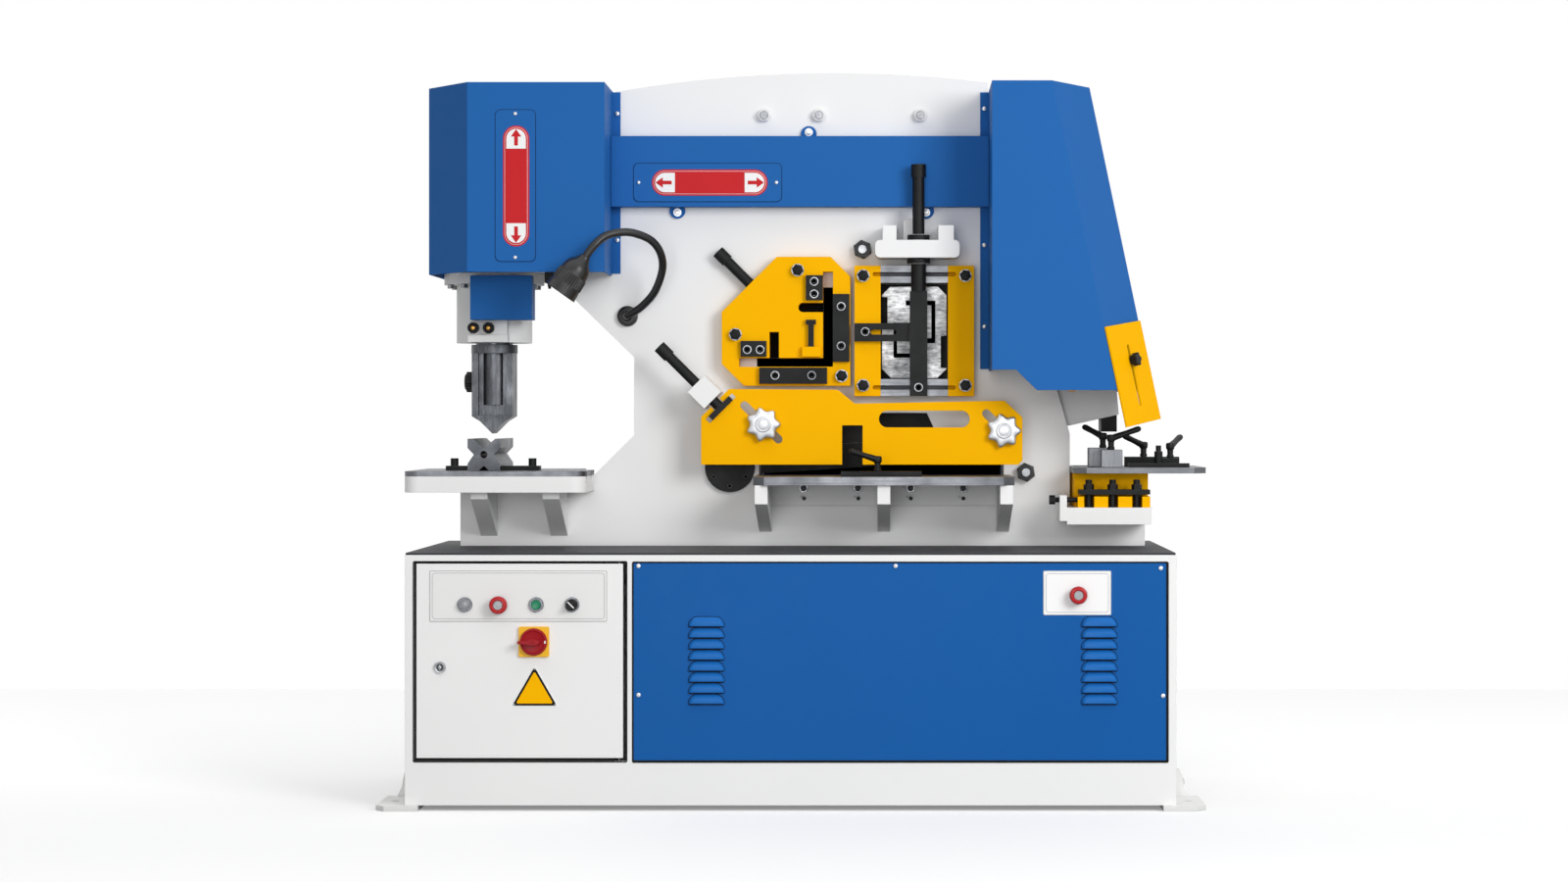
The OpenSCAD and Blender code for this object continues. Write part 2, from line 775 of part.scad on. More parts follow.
module oil_tank() {
  color("slategray") {
    difference() {
      span(tank_x, tank_y, tank_z);
      span([tank_x[0] + 4, tank_x[1] - 4], [tank_y[0] + 4, tank_y[1] - 4],
        [tank_z[0] + 4, tank_z[1] + 1]);
    }
    span([tank_x[0] - 12, tank_x[1] + 12], [tank_y[0] - 12, tank_y[1] + 12],
      [tank_z[1], tank_z[1] + lid_t]);
    rod_z(tank_x[1] - 50, tank_y[0] + 50, 60, [tank_z[1] + lid_t, tank_z[1] + lid_t + 30]);
  }
}

// Motor lying on the tank lid, its pump, and the valve block with two outlets
motor_d = 170;
motor_l = 280;
motor_foot = 20;

module pump_set() {
  seat = tank_z[1] + lid_t;
  axis_z = seat + motor_foot + motor_d/2;
  y = tank_y[0] + 170;
  x0 = tank_x[0] + 40;
  color("steelblue") {
    translate([x0, y, axis_z]) rotate([0, 90, 0]) {
      cylinder(d = motor_d - 16, h = motor_l);
      for (i = [0 : 11]) translate([0, 0, 20 + i*20]) cylinder(d = motor_d, h = 8);
      translate([0, 0, motor_l]) cylinder(d = 110, h = 60);
      translate([0, 0, motor_l + 60]) cylinder(d = 80, h = 90);
    }
    span([x0 + 30, x0 + motor_l - 30], [y - 60, y + 60], [seat, axis_z - motor_d/2 + 20]);
    span([x0 + 60, x0 + 260], [tank_y[1] - 150, tank_y[1] - 70], [seat, seat + 70]);
    for (i = [0, 1]) span([x0 + 80 + i*100, x0 + 130 + i*100],
      [tank_y[1] - 150, tank_y[1] - 70], [seat + 70, seat + 130]);
  }
}

// FRAME

nose_z = deck_z + nose_h;
shoulder_z = cover_top_z - sheet_t - 6;
throat_z = [deck_z + throat_low_h, deck_z + throat_high_h];
seat_z = deck_z + table_seat_h;
jaw_z = deck_z + jaw_h;
crown_z = deck_z + crown_h;
angle_z = deck_z + angle_h;
section_z = deck_z + section_h;
cyl_cover_z = deck_z + cyl_cover_h;
window_x = [section_x - window_w/2, section_x + window_w/2];
window_z = [section_z - window_tall/2, section_z + window_tall/2];
tie_z = deck_z + tie_h;
// Large ties beside the section bracket and under the end of the beam
big_ties = [[section_x - 125, section_z + section_tall/2 + 41], [shear_right + 37, shear_z + 6]];
blade_clear = 4;
angle_wide = 3;
shear_slot_z = [shear_z - blade_depth, shear_z + 51];
blade_view = 150;

module angle_slots(grow) {
  rect_2d([angle_x - angle_slot - grow, angle_x + grow], [angle_z - grow, angle_z + angle_rise + grow]);
  rect_2d([angle_x - angle_run - grow, angle_x + grow], [angle_z - grow, angle_z + angle_slot - 3 + grow]);
}

module frame_outline() {
  difference() {
    intersection() {
      polygon([[frame_left, deck_z], [jaw_x, deck_z], [jaw_x, jaw_z], [frame_right, jaw_z],
        [frame_right, cyl_cover_z - 104], [frame_right - 30, cyl_cover_z],
        [frame_right - 30, shoulder_z], [cyl_cover_left - 3, shoulder_z],
        [cyl_cover_left - 3, crown_z + 10], [punch_cover_right + 3, crown_z + 10],
        [punch_cover_right + 3, shoulder_z], [nose_x, shoulder_z], [nose_x, nose_z],
        [throat_x - (nose_z - throat_z[1])*1.03, nose_z], [throat_x, throat_z[1]],
        [throat_x, throat_z[0]], [throat_x - throat_z[0] + seat_z, seat_z],
        [frame_left, seat_z]]);
      translate([crown_x, crown_z - crown_r]) circle(r = crown_r, $fn = 360);
    }
    angle_slots(angle_wide);
    rect_2d(window_x, window_z);
    rect_2d([blade_x[0] - blade_clear, blade_x[1] + blade_clear], shear_slot_z);
    translate([pivot_x, pivot_z]) circle(d = pivot_d + 2*run_gap);
    translate([trunnion_x, trunnion_z]) circle(d = trunnion_d + 2*run_gap);
    for (x = tie_x) translate([x, tie_z]) circle(d = tie_d + 2*run_gap);
    for (t = big_ties) translate(t) circle(d = big_tie_d + 2*run_gap);
  }
}

// The front plate is also open above the plate blade, behind the guard
module front_frame_plate() {
  color("whitesmoke") plate_xz(front_y) difference() {
    frame_outline();
    polygon([[shear_left + 190, shear_slot_z[1] - 1], [shear_left + 455, shear_slot_z[1] - 1],
      [shear_left + 410, shear_z + blade_view], [shear_left + 190, shear_z + blade_view]]);
  }
}

module rear_frame_plate() {
  color("whitesmoke") plate_xz(rear_y) frame_outline();
}

washer_t = 4;

module tie(x, z, d, spacer_d) {
  inside = [front_y[1], rear_y[0]];
  difference() {
    rod_y(x, z, spacer_d, inside);
    rod_y(x, z, d + 2*run_gap, [inside[0] - 1, inside[1] + 1]);
  }
  rod_y(x, z, d, [front_y[0] - washer_t, rear_y[1] + washer_t]);
  for (y = [[front_y[0] - washer_t, front_y[0]], [rear_y[1], rear_y[1] + washer_t]])
    difference() {
      rod_y(x, z, d*1.7, y);
      rod_y(x, z, d, y);
    }
  hex_y(x, z, d*1.55, [front_y[0] - washer_t - d*0.6, front_y[0] - washer_t]);
  hex_y(x, z, d*1.55, [rear_y[1] + washer_t, rear_y[1] + washer_t + d*0.6]);
}

module frame_ties() {
  color("silver") {
    for (x = tie_x) tie(x, tie_z, tie_d, tie_d*2);
    for (t = big_ties) tie(t[0], t[1], big_tie_d, big_tie_d*1.65);
    rod_y(trunnion_x, trunnion_z, trunnion_d, [front_y[0], rear_y[1]]);
    // Webs between the plates: throat back, foot, nose and jaw
    web_y = [front_y[1], rear_y[0]];
    span([throat_x + 20, throat_x + 50], web_y, [throat_z[0] + 10, throat_z[1] - 10]);
    span([frame_left + 40, throat_x - 60], web_y, [deck_z, deck_z + 40]);
    span([throat_x + 40, throat_x + 70], web_y, [nose_z + 60, shoulder_z - 60]);
    span([frame_right - 90, jaw_x - 20], web_y, [deck_z, deck_z + 30]);
  }
}

module pivot_shaft() {
  color("dimgray") {
    rod_y(pivot_x, pivot_z, pivot_d, [front_y[0], rear_y[1]]);
    rod_y(pivot_x, pivot_z, pivot_cap_d, [front_y[0] - pivot_cap_t, front_y[0]]);
    rod_y(pivot_x, pivot_z, pivot_cap_d, [rear_y[1], rear_y[1] + pivot_cap_t]);
  }
}

// BEAM

beam_top_z = deck_z + beam_top_h;
blade_edge_z = [shear_z + 2, shear_z + 2 + blade_rise];
beam_low = 6;
boss_r = pivot_d/2 + bush_wall + 24;
// Slanted end of the beam over the notcher
ram_end_low = [frame_right + 2, rod_pin_z - 102];
ram_end_high = [frame_right + 122, rod_pin_z - 75];
rod_slot_y = [mid_y - rod_d/2 - 3, mid_y + rod_d/2 + 3];
rod_eye_r = rod_pin_d/2 + 24;

module beam_outline() {
  translate([pivot_x, pivot_z]) circle(r = boss_r);
  polygon([[pivot_x - boss_r, pivot_z], [pivot_x, pivot_z - boss_r*0.4],
    [blade_x[0], blade_edge_z[0] + beam_low], [blade_x[1], blade_edge_z[1] + beam_low],
    [blade_x[1] + 40, ram_end_low[1] - 15], ram_end_low, ram_end_high,
    [ram_end_high[0] - 5, rod_pin_z - 18], [ram_end_high[0] - 14, rod_pin_z + 25],
    [rod_pin_x - 52, rod_pin_z + 100], [window_x[1] + 31, beam_top_z],
    [pivot_x + 9, beam_top_z], [pivot_x - boss_r, pivot_z + 348]]);
}

module beam_body_2d() {
  difference() {
    beam_outline();
    angle_slots(angle_wide);
    rect_2d(window_x, window_z);
    translate([pivot_x, pivot_z]) circle(d = pivot_d + 2*bush_wall + 2*run_gap);
    translate([rod_pin_x, rod_pin_z]) circle(d = rod_pin_d + 2*run_gap);
  }
}

module shear_beam() {
  color("silver") difference() {
    plate_xz(beam_y) beam_body_2d();
    plate_xz(rod_slot_y) rect_2d([rod_pin_x - rod_eye_r - 30, rod_pin_x + rod_eye_r + 20],
      [rod_pin_z - rod_eye_r - 6, beam_top_z]);
  }
}

module beam_pins() {
  color("goldenrod") {
    difference() {
      rod_y(pivot_x, pivot_z, pivot_d + 2*bush_wall, beam_y);
      rod_y(pivot_x, pivot_z, pivot_d + 2*run_gap, [beam_y[0] - 1, beam_y[1] + 1]);
    }
    rod_y(rod_pin_x, rod_pin_z, rod_pin_d, beam_y);
  }
}

// Openings of the section blades: a channel slot, two round bars and two squares
module section_cuts() {
  translate([section_x, section_z]) {
    rect_2d([-44, -30], [-48, 48]);
    rect_2d([-44, 30], [-48, -34]);
    rect_2d([-44, 30], [34, 48]);
    translate([52, 18]) circle(d = 36);
    translate([52, -28]) circle(d = 26);
    translate([-50, 82]) rotate(45) square(24, center = true);
    translate([48, -82]) rotate(45) square(24, center = true);
  }
}

module section_blade_2d() {
  cut = 36;
  x = window_x;
  z = window_z;
  difference() {
    polygon([[x[0] + cut, z[0]], [x[1] - cut, z[0]], [x[1], z[0] + cut], [x[1], z[1] - cut],
      [x[1] - cut, z[1]], [x[0] + cut, z[1]], [x[0], z[1] - cut], [x[0], z[0] + cut]]);
    section_cuts();
  }
}

notch_punch_x = [ram_end_low[0] + 18, ram_end_high[0] - 4];
notch_punch_z = ram_end_low[1] - 33;
function ram_end_z(x) = ram_end_low[1] + (x - ram_end_low[0])*(ram_end_high[1] - ram_end_low[1])
  / (ram_end_high[0] - ram_end_low[0]);

// Plate blade on the beam's front face, section blade in the beam's window, and notching punch
module moving_blades() {
  color("lightgray") {
    plate_xz([front_y[1] + slide_gap, beam_y[0]]) polygon([[blade_x[0], blade_edge_z[0]],
      [blade_x[1], blade_edge_z[1]], [blade_x[1], blade_edge_z[1] + blade_depth],
      [blade_x[0], blade_edge_z[0] + blade_depth]]);
    plate_xz([beam_y[0], beam_y[0] + 30]) difference() {
      rect_2d(window_x, window_z);
      section_cuts();
    }
    // Notching punch under the beam's slanted end
    plate_xz([beam_y[0] + 10, beam_y[1] - 10]) polygon([[notch_punch_x[0], notch_punch_z],
      [notch_punch_x[1], notch_punch_z], [notch_punch_x[1], ram_end_z(notch_punch_x[1])],
      [notch_punch_x[0], ram_end_z(notch_punch_x[0])]]);
  }
}

section_y = [face_y - section_t, face_y];
strip_z = [(section_tall - window_tall)/2, 10];
groove_deep = 20;
groove_in = 14;

// Lower plate blade, section blade and the two strips that hold it
module fixed_blades() {
  color("silver") {
    plate_xz(front_y) rect_2d(blade_x, [shear_slot_z[0], shear_z]);
    plate_xz([face_y - 14, face_y + 10]) section_blade_2d();
    for (side = [-1, 1]) difference() {
      plate_xz(section_y) translate([section_x, section_z + side*(window_tall + strip_z[0])/2])
        rect_2d([-window_w/2, window_w/2], [-strip_z[0]/2, strip_z[0]/2]);
      strip_groove(side);
    }
  }
}

// Bolt groove across a blade strip and into the side strips next to it
module strip_groove(side) {
  plate_xz([section_y[0] - 1, section_y[0] + groove_deep])
    translate([section_x, section_z + side*(window_tall + strip_z[0])/2])
    slot_2d([-window_w/2 - groove_in, 0], [window_w/2 + groove_in, 0], strip_z[1]);
}

// Cylinder along its tilted axis, measured downwards from the trunnion
rod_reach = norm([rod_pin_x - trunnion_x, trunnion_z - rod_pin_z]);
rod_bare = 198;
shear_cyl_l = rod_reach - rod_bare;
piston_d = shear_cyl_d - 24;
eye_clear = 1.2;

module on_rod_axis() {
  translate([trunnion_x, mid_y, trunnion_z]) rotate([0, 180 - rod_tilt, 0]) children();
}

module shear_cylinder() {
  color("dimgray") difference() {
    union() {
      on_rod_axis() translate([0, 0, 40]) cylinder(d = shear_cyl_d, h = shear_cyl_l);
      on_rod_axis() translate([0, 0, 10]) cylinder(d = shear_cyl_d - 40, h = 40);
      rod_y(trunnion_x, trunnion_z, trunnion_d + 40, [mid_y - 40, mid_y + 40]);
    }
    rod_y(trunnion_x, trunnion_z, trunnion_d + 2*run_gap, [mid_y - 100, mid_y + 100]);
    on_rod_axis() translate([0, 0, 70]) cylinder(d = piston_d, h = shear_cyl_l - 60);
    on_rod_axis() translate([0, 0, 70]) cylinder(d = rod_d + 2*run_gap, h = shear_cyl_l);
  }
}

module shear_rod() {
  piston_at = 90;
  color("silver") difference() {
    union() {
      on_rod_axis() translate([0, 0, piston_at])
        cylinder(d = rod_d, h = rod_reach - piston_at - rod_pin_d/2);
      on_rod_axis() translate([0, 0, piston_at])
        cylinder(d = piston_d - 2*run_gap, h = 40);
      rod_y(rod_pin_x, rod_pin_z, 2*rod_eye_r, [mid_y - rod_d/2, mid_y + rod_d/2]);
    }
    rod_y(rod_pin_x, rod_pin_z, rod_pin_d + 2*eye_clear, [mid_y - rod_d, mid_y + rod_d]);
  }
}

// COVERS

back_y = rear_y[1] + cover_back;
punch_left_x = ram_x - punch_cover_left;
punch_cover_z = [deck_z + punch_cover_h, cover_top_z];
flange_z = [5, 4];
ram_box_z = [deck_z + 546, deck_z + punch_cover_h - 2];

// Ground plan of the punch cover, from its front right corner round to the back
function punch_plan() = [[punch_cover_right, back_y], [punch_left_x + 30, back_y],
  [punch_left_x, back_y - 30], [punch_left_x, face_y - punch_cover_reach + punch_slant_depth],
  [punch_left_x + punch_cover_slant, face_y - punch_cover_reach],
  [punch_cover_right, face_y - punch_cover_reach]];

// Flange that screws a cover to the front or back face of the frame
module cover_flange(x, z) {
  for (y = [[face_y - sheet_t, face_y], [rear_y[1], rear_y[1] + sheet_t]])
    span(x, y, [z[0] + flange_z[0], z[1] - flange_z[1]]);
}

module punch_cover() {
  plan = punch_plan();
  color("royalblue") {
    difference() {
      translate([0, 0, punch_cover_z[0]])
        linear_extrude(punch_cover_z[1] - punch_cover_z[0]) polygon(plan);
      translate([0, 0, punch_cover_z[0] - 1])
        linear_extrude(punch_cover_z[1] - punch_cover_z[0] - sheet_t + 1)
        polygon(inset(plan, sheet_t));
      span([punch_cover_right - 2*sheet_t, punch_cover_right + 1],
        [front_y[0], rear_y[1]], [punch_cover_z[0] - 1, punch_cover_z[1] - sheet_t]);
    }
    cover_flange([punch_cover_right, punch_cover_right + flange_w], punch_cover_z);
    limit_switch_box();
  }
}

// Small folded cover in front of the cylinder nose, over the travel switches
module limit_switch_box() {
  x = [ram_x - 38, ram_x + 110];
  y = [face_y - 62, mid_y - cyl_nose_d/2 - 1];
  flange_front = mid_y - cyl_flange_d/2;
  difference() {
    span(x, y, ram_box_z);
    span([x[0] + sheet_t, x[1] - sheet_t], [y[0] + sheet_t, y[1] + 1],
      [ram_box_z[0] + sheet_t, ram_box_z[1] - sheet_t]);
    span([x[0] - 1, x[1] + 1], [flange_front - 4, y[1] + 1],
      [nose_z - cyl_flange_t - 2, ram_box_z[1] + 1]);
  }
}

// Cover plan across its slanted side: u runs square to the fold, v to the back
cyl_plan_left = -420;
function cyl_plan() = [[cyl_plan_left, back_y], [cyl_plan_left, face_y - cyl_cover_reach],
  [0, face_y - cyl_cover_reach], [cyl_slant, face_y - cyl_cover_reach + cyl_slant_depth],
  [cyl_slant, back_y]];

module cyl_shell(t) {
  drop = 400;
  length = 1500;
  intersection() {
    translate([cyl_fold_x, 0, cover_top_z]) rotate([0, -rod_tilt, 0])
      translate([0, 0, -length + drop]) linear_extrude(length) polygon(inset(cyl_plan(), t));
    plate_xz([face_y - cyl_cover_reach - 1, back_y + 1]) polygon([
      [cyl_cover_left + t, cyl_cover_z + 48 - (t > 0 ? 100 : 0)],
      [cyl_cover_left + 56, cyl_cover_z + 48 - (t > 0 ? 100 : 0)],
      [cyl_cover_left + 105, cyl_cover_z - (t > 0 ? 100 : 0)],
      [cyl_fold_x + 420, cyl_cover_z - (t > 0 ? 100 : 0)],
      [cyl_fold_x + 420, cover_top_z - t], [cyl_cover_left + t, cover_top_z - t]]);
  }
}

module cylinder_cover() {
  color("royalblue") {
    difference() {
      cyl_shell(0);
      cyl_shell(sheet_t);
      span([cyl_cover_left - 1, cyl_cover_left + 2*sheet_t], [front_y[0], rear_y[1]],
        [cyl_cover_z - 1, cover_top_z - sheet_t]);
    }
    cover_flange([cyl_cover_left - flange_w, cyl_cover_left], [cyl_cover_z + 48, cover_top_z]);
  }
}

bridge_z = [deck_z + bridge_h, deck_z + bridge_h + bridge_tall];
bridge_end = 1;

// Hood behind the shear stations, open below, with screw flanges on the rear plate
hood_x = [angle_x - angle_run - 30, cyl_cover_left - 2*flange_w - 5];
hood_low_x = [pivot_x + pivot_cap_d/2 + flange_w + 5, big_ties[1][0] - big_tie_d - flange_w - 5];
hood_z = [shear_z - 30, window_z[1] + 28];
hood_step_z = [pivot_z + pivot_cap_d/2 + 16, cyl_cover_z - flange_w - 11];

// Outline of the hood, grown by g at its walls and lowered by drop at its open lower edges
function hood_2d(g, drop) = [[hood_x[0] - g, hood_step_z[0] - drop], [hood_low_x[0] - g, hood_step_z[0] - drop],
  [hood_low_x[0] - g, hood_z[0] - drop], [hood_low_x[1] + g, hood_z[0] - drop],
  [hood_low_x[1] + g, hood_step_z[1] + g], [hood_x[1] + g, hood_step_z[1] + g],
  [hood_x[1] + g, hood_z[1] + g], [hood_x[0] - g, hood_z[1] + g]];

module rear_hood() {
  y = [rear_y[1], rear_y[1] + hood_depth];
  difference() {
    union() {
      plate_xz(y) polygon(hood_2d(0, 0));
      plate_xz([y[0], y[0] + sheet_t]) polygon(hood_2d(flange_w, 0));
    }
    plate_xz([y[0] - 1, y[1] - sheet_t]) polygon(hood_2d(-sheet_t, 1));
  }
}

module frame_covers() {
  color("royalblue") {
    bridge_cover();
    rear_hood();
  }
}

module bridge_cover() {
  x = [punch_cover_right + bridge_end, cyl_cover_left - bridge_end];
  y = [face_y - bridge_reach, face_y - sheet_t];
  tab_r = 19;
  difference() {
    span(x, y, bridge_z);
    span([x[0] - 1, x[1] + 1], [y[0] + sheet_t, y[1] + 1],
      [bridge_z[0] + sheet_t, bridge_z[1] - sheet_t]);
  }
  // Screw tabs on the frame
  for (tab = [[32, bridge_z[1] + 8], [-286, bridge_z[0] - 8], [316, bridge_z[0] - 8]])
    plate_xz([face_y - 2*sheet_t, face_y]) intersection() {
      translate(tab) circle(r = tab_r);
      if (tab[1] > bridge_z[1]) rect_2d([tab[0] - tab_r, tab[0] + tab_r], [bridge_z[1], tab[1] + tab_r]);
      else rect_2d([tab[0] - tab_r, tab[0] + tab_r], [tab[1] - tab_r, bridge_z[0]]);
    }
}

// PUNCH

nose_low_z = nose_z - cyl_flange_t - cyl_nose_l;
collar_top_z = nose_low_z - collar_gap;
tool_z = collar_top_z - collar_h;
piston_top = 40;
ram_head_d = barrel_d - 22;
ram_travel_room = 90;

module punch_cylinder() {
  guide_y = [mid_y - cyl_nose_d/2 - 18, mid_y];
  color("whitesmoke") difference() {
    union() {
      rod_z(ram_x, mid_y, barrel_d, [nose_z - 1, nose_z + barrel_l]);
      rod_z(ram_x, mid_y, cyl_flange_d, [nose_z - cyl_flange_t, nose_z]);
      rod_z(ram_x, mid_y, cyl_nose_d, [nose_low_z, nose_z - cyl_flange_t]);
      // Guide block below the limit-switch box
      span([ram_x - 46, ram_x + 44], guide_y, [nose_low_z, ram_box_z[0]]);
      span([ram_x - 50, ram_x + 46], [guide_y[0] - 6, guide_y[1]], [nose_low_z, nose_low_z + 17]);
    }
    rod_z(ram_x, mid_y, ram_d + 2*run_gap, [nose_low_z - 1, nose_z + barrel_l - 60]);
    rod_z(ram_x, mid_y, ram_head_d, [nose_z + 60, nose_z + barrel_l - 20]);
  }
}

module punch_ram() {
  head_top = nose_z + barrel_l - 24;
  color("silver") {
    rod_z(ram_x, mid_y, ram_d, [collar_top_z, head_top]);
    rod_z(ram_x, mid_y, ram_head_d - 2*run_gap, [head_top - 50, head_top]);
  }
}

knob_shaft_d = 10;
core_d = 69;
jaw_depth = 20;
knob_z = tool_z - 70;

module bending_punch() {
  tip_r = 3;
  low = tool_z - tool_h;
  side = [mid_y - tool_depth/2, mid_y + tool_depth/2];
  color("dimgray") difference() {
    union() {
      rod_z(ram_x, mid_y, collar_d, [tool_z, collar_top_z]);
      // Body with two jaws, a round core between them and a vee blade
      difference() {
        plate_xz(side) polygon([[ram_x - tool_w/2, tool_z], [ram_x + tool_w/2, tool_z],
          [ram_x + tool_w/2, low + 12], [ram_x + 30, low], [ram_x + tip_r, low - tool_tip_h + tip_r],
          [ram_x, low - tool_tip_h], [ram_x - tip_r, low - tool_tip_h + tip_r], [ram_x - 30, low],
          [ram_x - tool_w/2, low + 12]]);
        span([ram_x - core_d/2, ram_x + core_d/2], [side[0] - 1, side[0] + jaw_depth], [low + 14, tool_z]);
      }
      rod_z(ram_x, mid_y, core_d, [low + 40, tool_z]);
    }
    translate([ram_x - tool_w/2 - 1, side[0] + 30, knob_z]) rotate([0, 90, 0])
      cylinder(d = knob_shaft_d + 2*run_gap, h = 30);
  }
}

// Knurled knob on the tool's left side
module tool_knob() {
  x = ram_x - tool_w/2;
  color("black") translate([x, mid_y - tool_depth/2 + 30, knob_z]) rotate([0, 90, 0]) {
    translate([0, 0, -20]) cylinder(d = knob_shaft_d, h = 48);
    translate([0, 0, -16]) cylinder(d = 44, h = 14);
    translate([0, 0, -20]) cylinder(d1 = 34, d2 = 44, h = 4);
    for (a = [0 : 45 : 315]) rotate(a) translate([20, 0, -16]) cylinder(d = 10, h = 14);
  }
}

table_z = [seat_z, seat_z + apron_h, seat_z + apron_h + table_top_t];
table_y = [face_y - table_reach, rear_y[1]];
table_corner = 34;
tslot_y = [table_y[0] + tslot_in[0], table_y[0] + tslot_in[1]];
tslot_end = 30;
tslot_deep = 14;

seat_right = throat_x - throat_z[0] + seat_z;

// The table rests on the frame's seat and passes in front of the frame on its right
module table_plan() {
  difference() {
    round_rect_2d([table_left, table_right], table_y, table_corner);
    rect_2d([seat_right - 2, table_right + 1], [face_y - slide_gap, table_y[1] + 1]);
  }
}

module punch_table() {
  color("whitesmoke") difference() {
    translate([0, 0, table_z[0]]) linear_extrude(apron_h) table_plan();
    for (y = tslot_y) span([table_left + tslot_end, table_right + 1], [y - tslot_w, y + tslot_w],
      [table_z[1] - tslot_deep, table_z[1] + 1]);
  }
}

module punch_table_top() {
  color("gray") difference() {
    translate([0, 0, table_z[1]]) linear_extrude(table_top_t) table_plan();
    for (y = tslot_y) span([table_left + tslot_end, table_right + 1], [y - tslot_w/2, y + tslot_w/2],
      [table_z[1] - 1, table_z[2] + 1]);
  }
}

vee_y = [table_y[0] + 120, mid_y + tool_depth/2 + 10];

module vee_die() {
  z = table_z[2];
  w = vee_w/2;
  color("dimgray") difference() {
    plate_xz(vee_y) polygon([[ram_x - w, z], [ram_x - 12, z], [ram_x, z + 11], [ram_x + 12, z],
      [ram_x + w, z], [ram_x + w, z + 16], [ram_x + w - 15, z + 38], [ram_x + w, z + 54],
      [ram_x + w, z + vee_h], [ram_x + 27, z + vee_h], [ram_x, z + vee_h - 24],
      [ram_x - 27, z + vee_h], [ram_x - w, z + vee_h], [ram_x - w, z + 54],
      [ram_x - w + 15, z + 38], [ram_x - w, z + 16]]);
    rod_y(ram_x, z + 38, 17, [vee_y[0] - 1, vee_y[1] + 1]);
  }
}

// Side clamps of the die: a flat plate and a cap screw whose foot stands in the rear table slot
clamp_t = 11;
clamp_w = 34;
cap_d = 19;
cap_h = 18;
socket_d = 10;

module die_clamps() {
  z = table_z[2];
  y = tslot_y[1];
  color("black") for (side = [0, 1]) {
    bolt_x = ram_x + clamp_bolt[side];
    die_x = ram_x + (side == 0 ? -1 : 1)*(vee_w/2 + slide_gap);
    x = side == 0 ? [bolt_x - cap_d, die_x] : [die_x, bolt_x + cap_d];
    span(x, [y - clamp_w/2, y + clamp_w/2], [z, z + clamp_t]);
    rod_z(bolt_x, y, tslot_w - 4, [table_z[1] - 3, z]);
    span([bolt_x - tslot_w + 3, bolt_x + tslot_w - 3], [y - tslot_w + 3, y + tslot_w - 3],
      [table_z[1] - tslot_deep + 3, table_z[1] - 2]);
    difference() {
      rod_z(bolt_x, y, cap_d, [z + clamp_t, z + clamp_t + cap_h]);
      translate([bolt_x, y, z + clamp_t + cap_h/2]) cylinder(d = socket_d, h = cap_h, $fn = 6);
    }
  }
}

// STATIONS ON THE FRONT PLATE

angle_y = [face_y - angle_t, face_y];
angle_mid = face_y - angle_t/2;
clamp_dir = [1, 0, -1];
// Clamp screw of the angle shear: the middle of the slanted edge
angle_edge = [angle_x - 199, angle_z + 199];

module angle_plate() {
  x = [angle_x - angle_run - angle_border, angle_x + angle_border];
  z = [angle_z - angle_border - 4, angle_z + angle_rise + 36];
  color("gold") {
    // Stop block between the slots
    plate_xz([angle_y[0] - 14, angle_y[0]])
      rect_2d([angle_x - angle_slot - 50, angle_x - angle_slot - 4], [angle_z + 24, angle_z + 48]);
    angle_face(x, z);
  }
}

module angle_face(x, z) {
  difference() {
    plate_xz(angle_y) difference() {
      polygon([[x[0] + 53, z[0]], [x[1], z[0]], [x[1], z[1] - 48], [x[1] - 48, z[1]],
        [angle_x - 135, z[1]], [x[0], z[0] + 178], [x[0], z[0] + 53]]);
      angle_slots(0);
      slot_2d([angle_x - angle_slot - 48, angle_z + 143], [angle_x - angle_slot, angle_z + 143], 23);
      rect_2d([angle_x - 153, angle_x - 130], [angle_z, angle_z + 84]);
    }
    translate([angle_edge[0], angle_mid, angle_edge[1]]) aim(clamp_dir)
      translate([0, 0, -80]) cylinder(d = clamp_screw_d + 2*run_gap, h = 200);
  }
}

module angle_screw() {
  color("black") translate([angle_edge[0], angle_mid, angle_edge[1]]) aim(clamp_dir) {
    translate([0, 0, -80]) cylinder(d = clamp_screw_d, h = 150);
    translate([0, 0, -112]) cylinder(d = clamp_screw_d + 6, h = 32);
  }
}

section_plate_x = [section_x - section_w/2, section_x + section_w/2];
section_plate_z = [section_z - section_tall/2, section_z + section_tall/2];

// Yellow side strips of the section shear
module section_plate() {
  color("gold") for (x = [[section_plate_x[0], window_x[0]], [window_x[1], section_plate_x[1]]])
    difference() {
      plate_xz(section_y) rect_2d(x, section_plate_z);
      for (side = [-1, 1]) strip_groove(side);
    }
}

hub_d = section_screw_d + 7;
screw_y = section_y[0] - hub_d/2 - slide_gap;
section_screw_x = section_x + 10;
bracket_z = [section_plate_z[1] + bracket_rise, section_plate_z[1] + bracket_rise + bracket_tall];
bar_top_z = section_z + 95;
bar_y = [screw_y - 12, screw_y + 12];
boss_h = 14;

// Upright clamp screw with its hub and the clamp bar that hangs from it
module section_screw() {
  color("black") {
    rod_z(section_screw_x, screw_y, section_screw_d, [bar_top_z, bracket_z[1] + 152]);
    rod_z(section_screw_x, screw_y, section_screw_d + 7, [bracket_z[1] + 152, bracket_z[1] + 183]);
    rod_z(section_screw_x, screw_y, hub_d, [bar_top_z, bracket_z[0] - boss_h - slide_gap]);
    span([section_screw_x - bar_w/2, section_screw_x + bar_w/2], bar_y,
      [section_plate_z[0], bar_top_z]);
  }
}

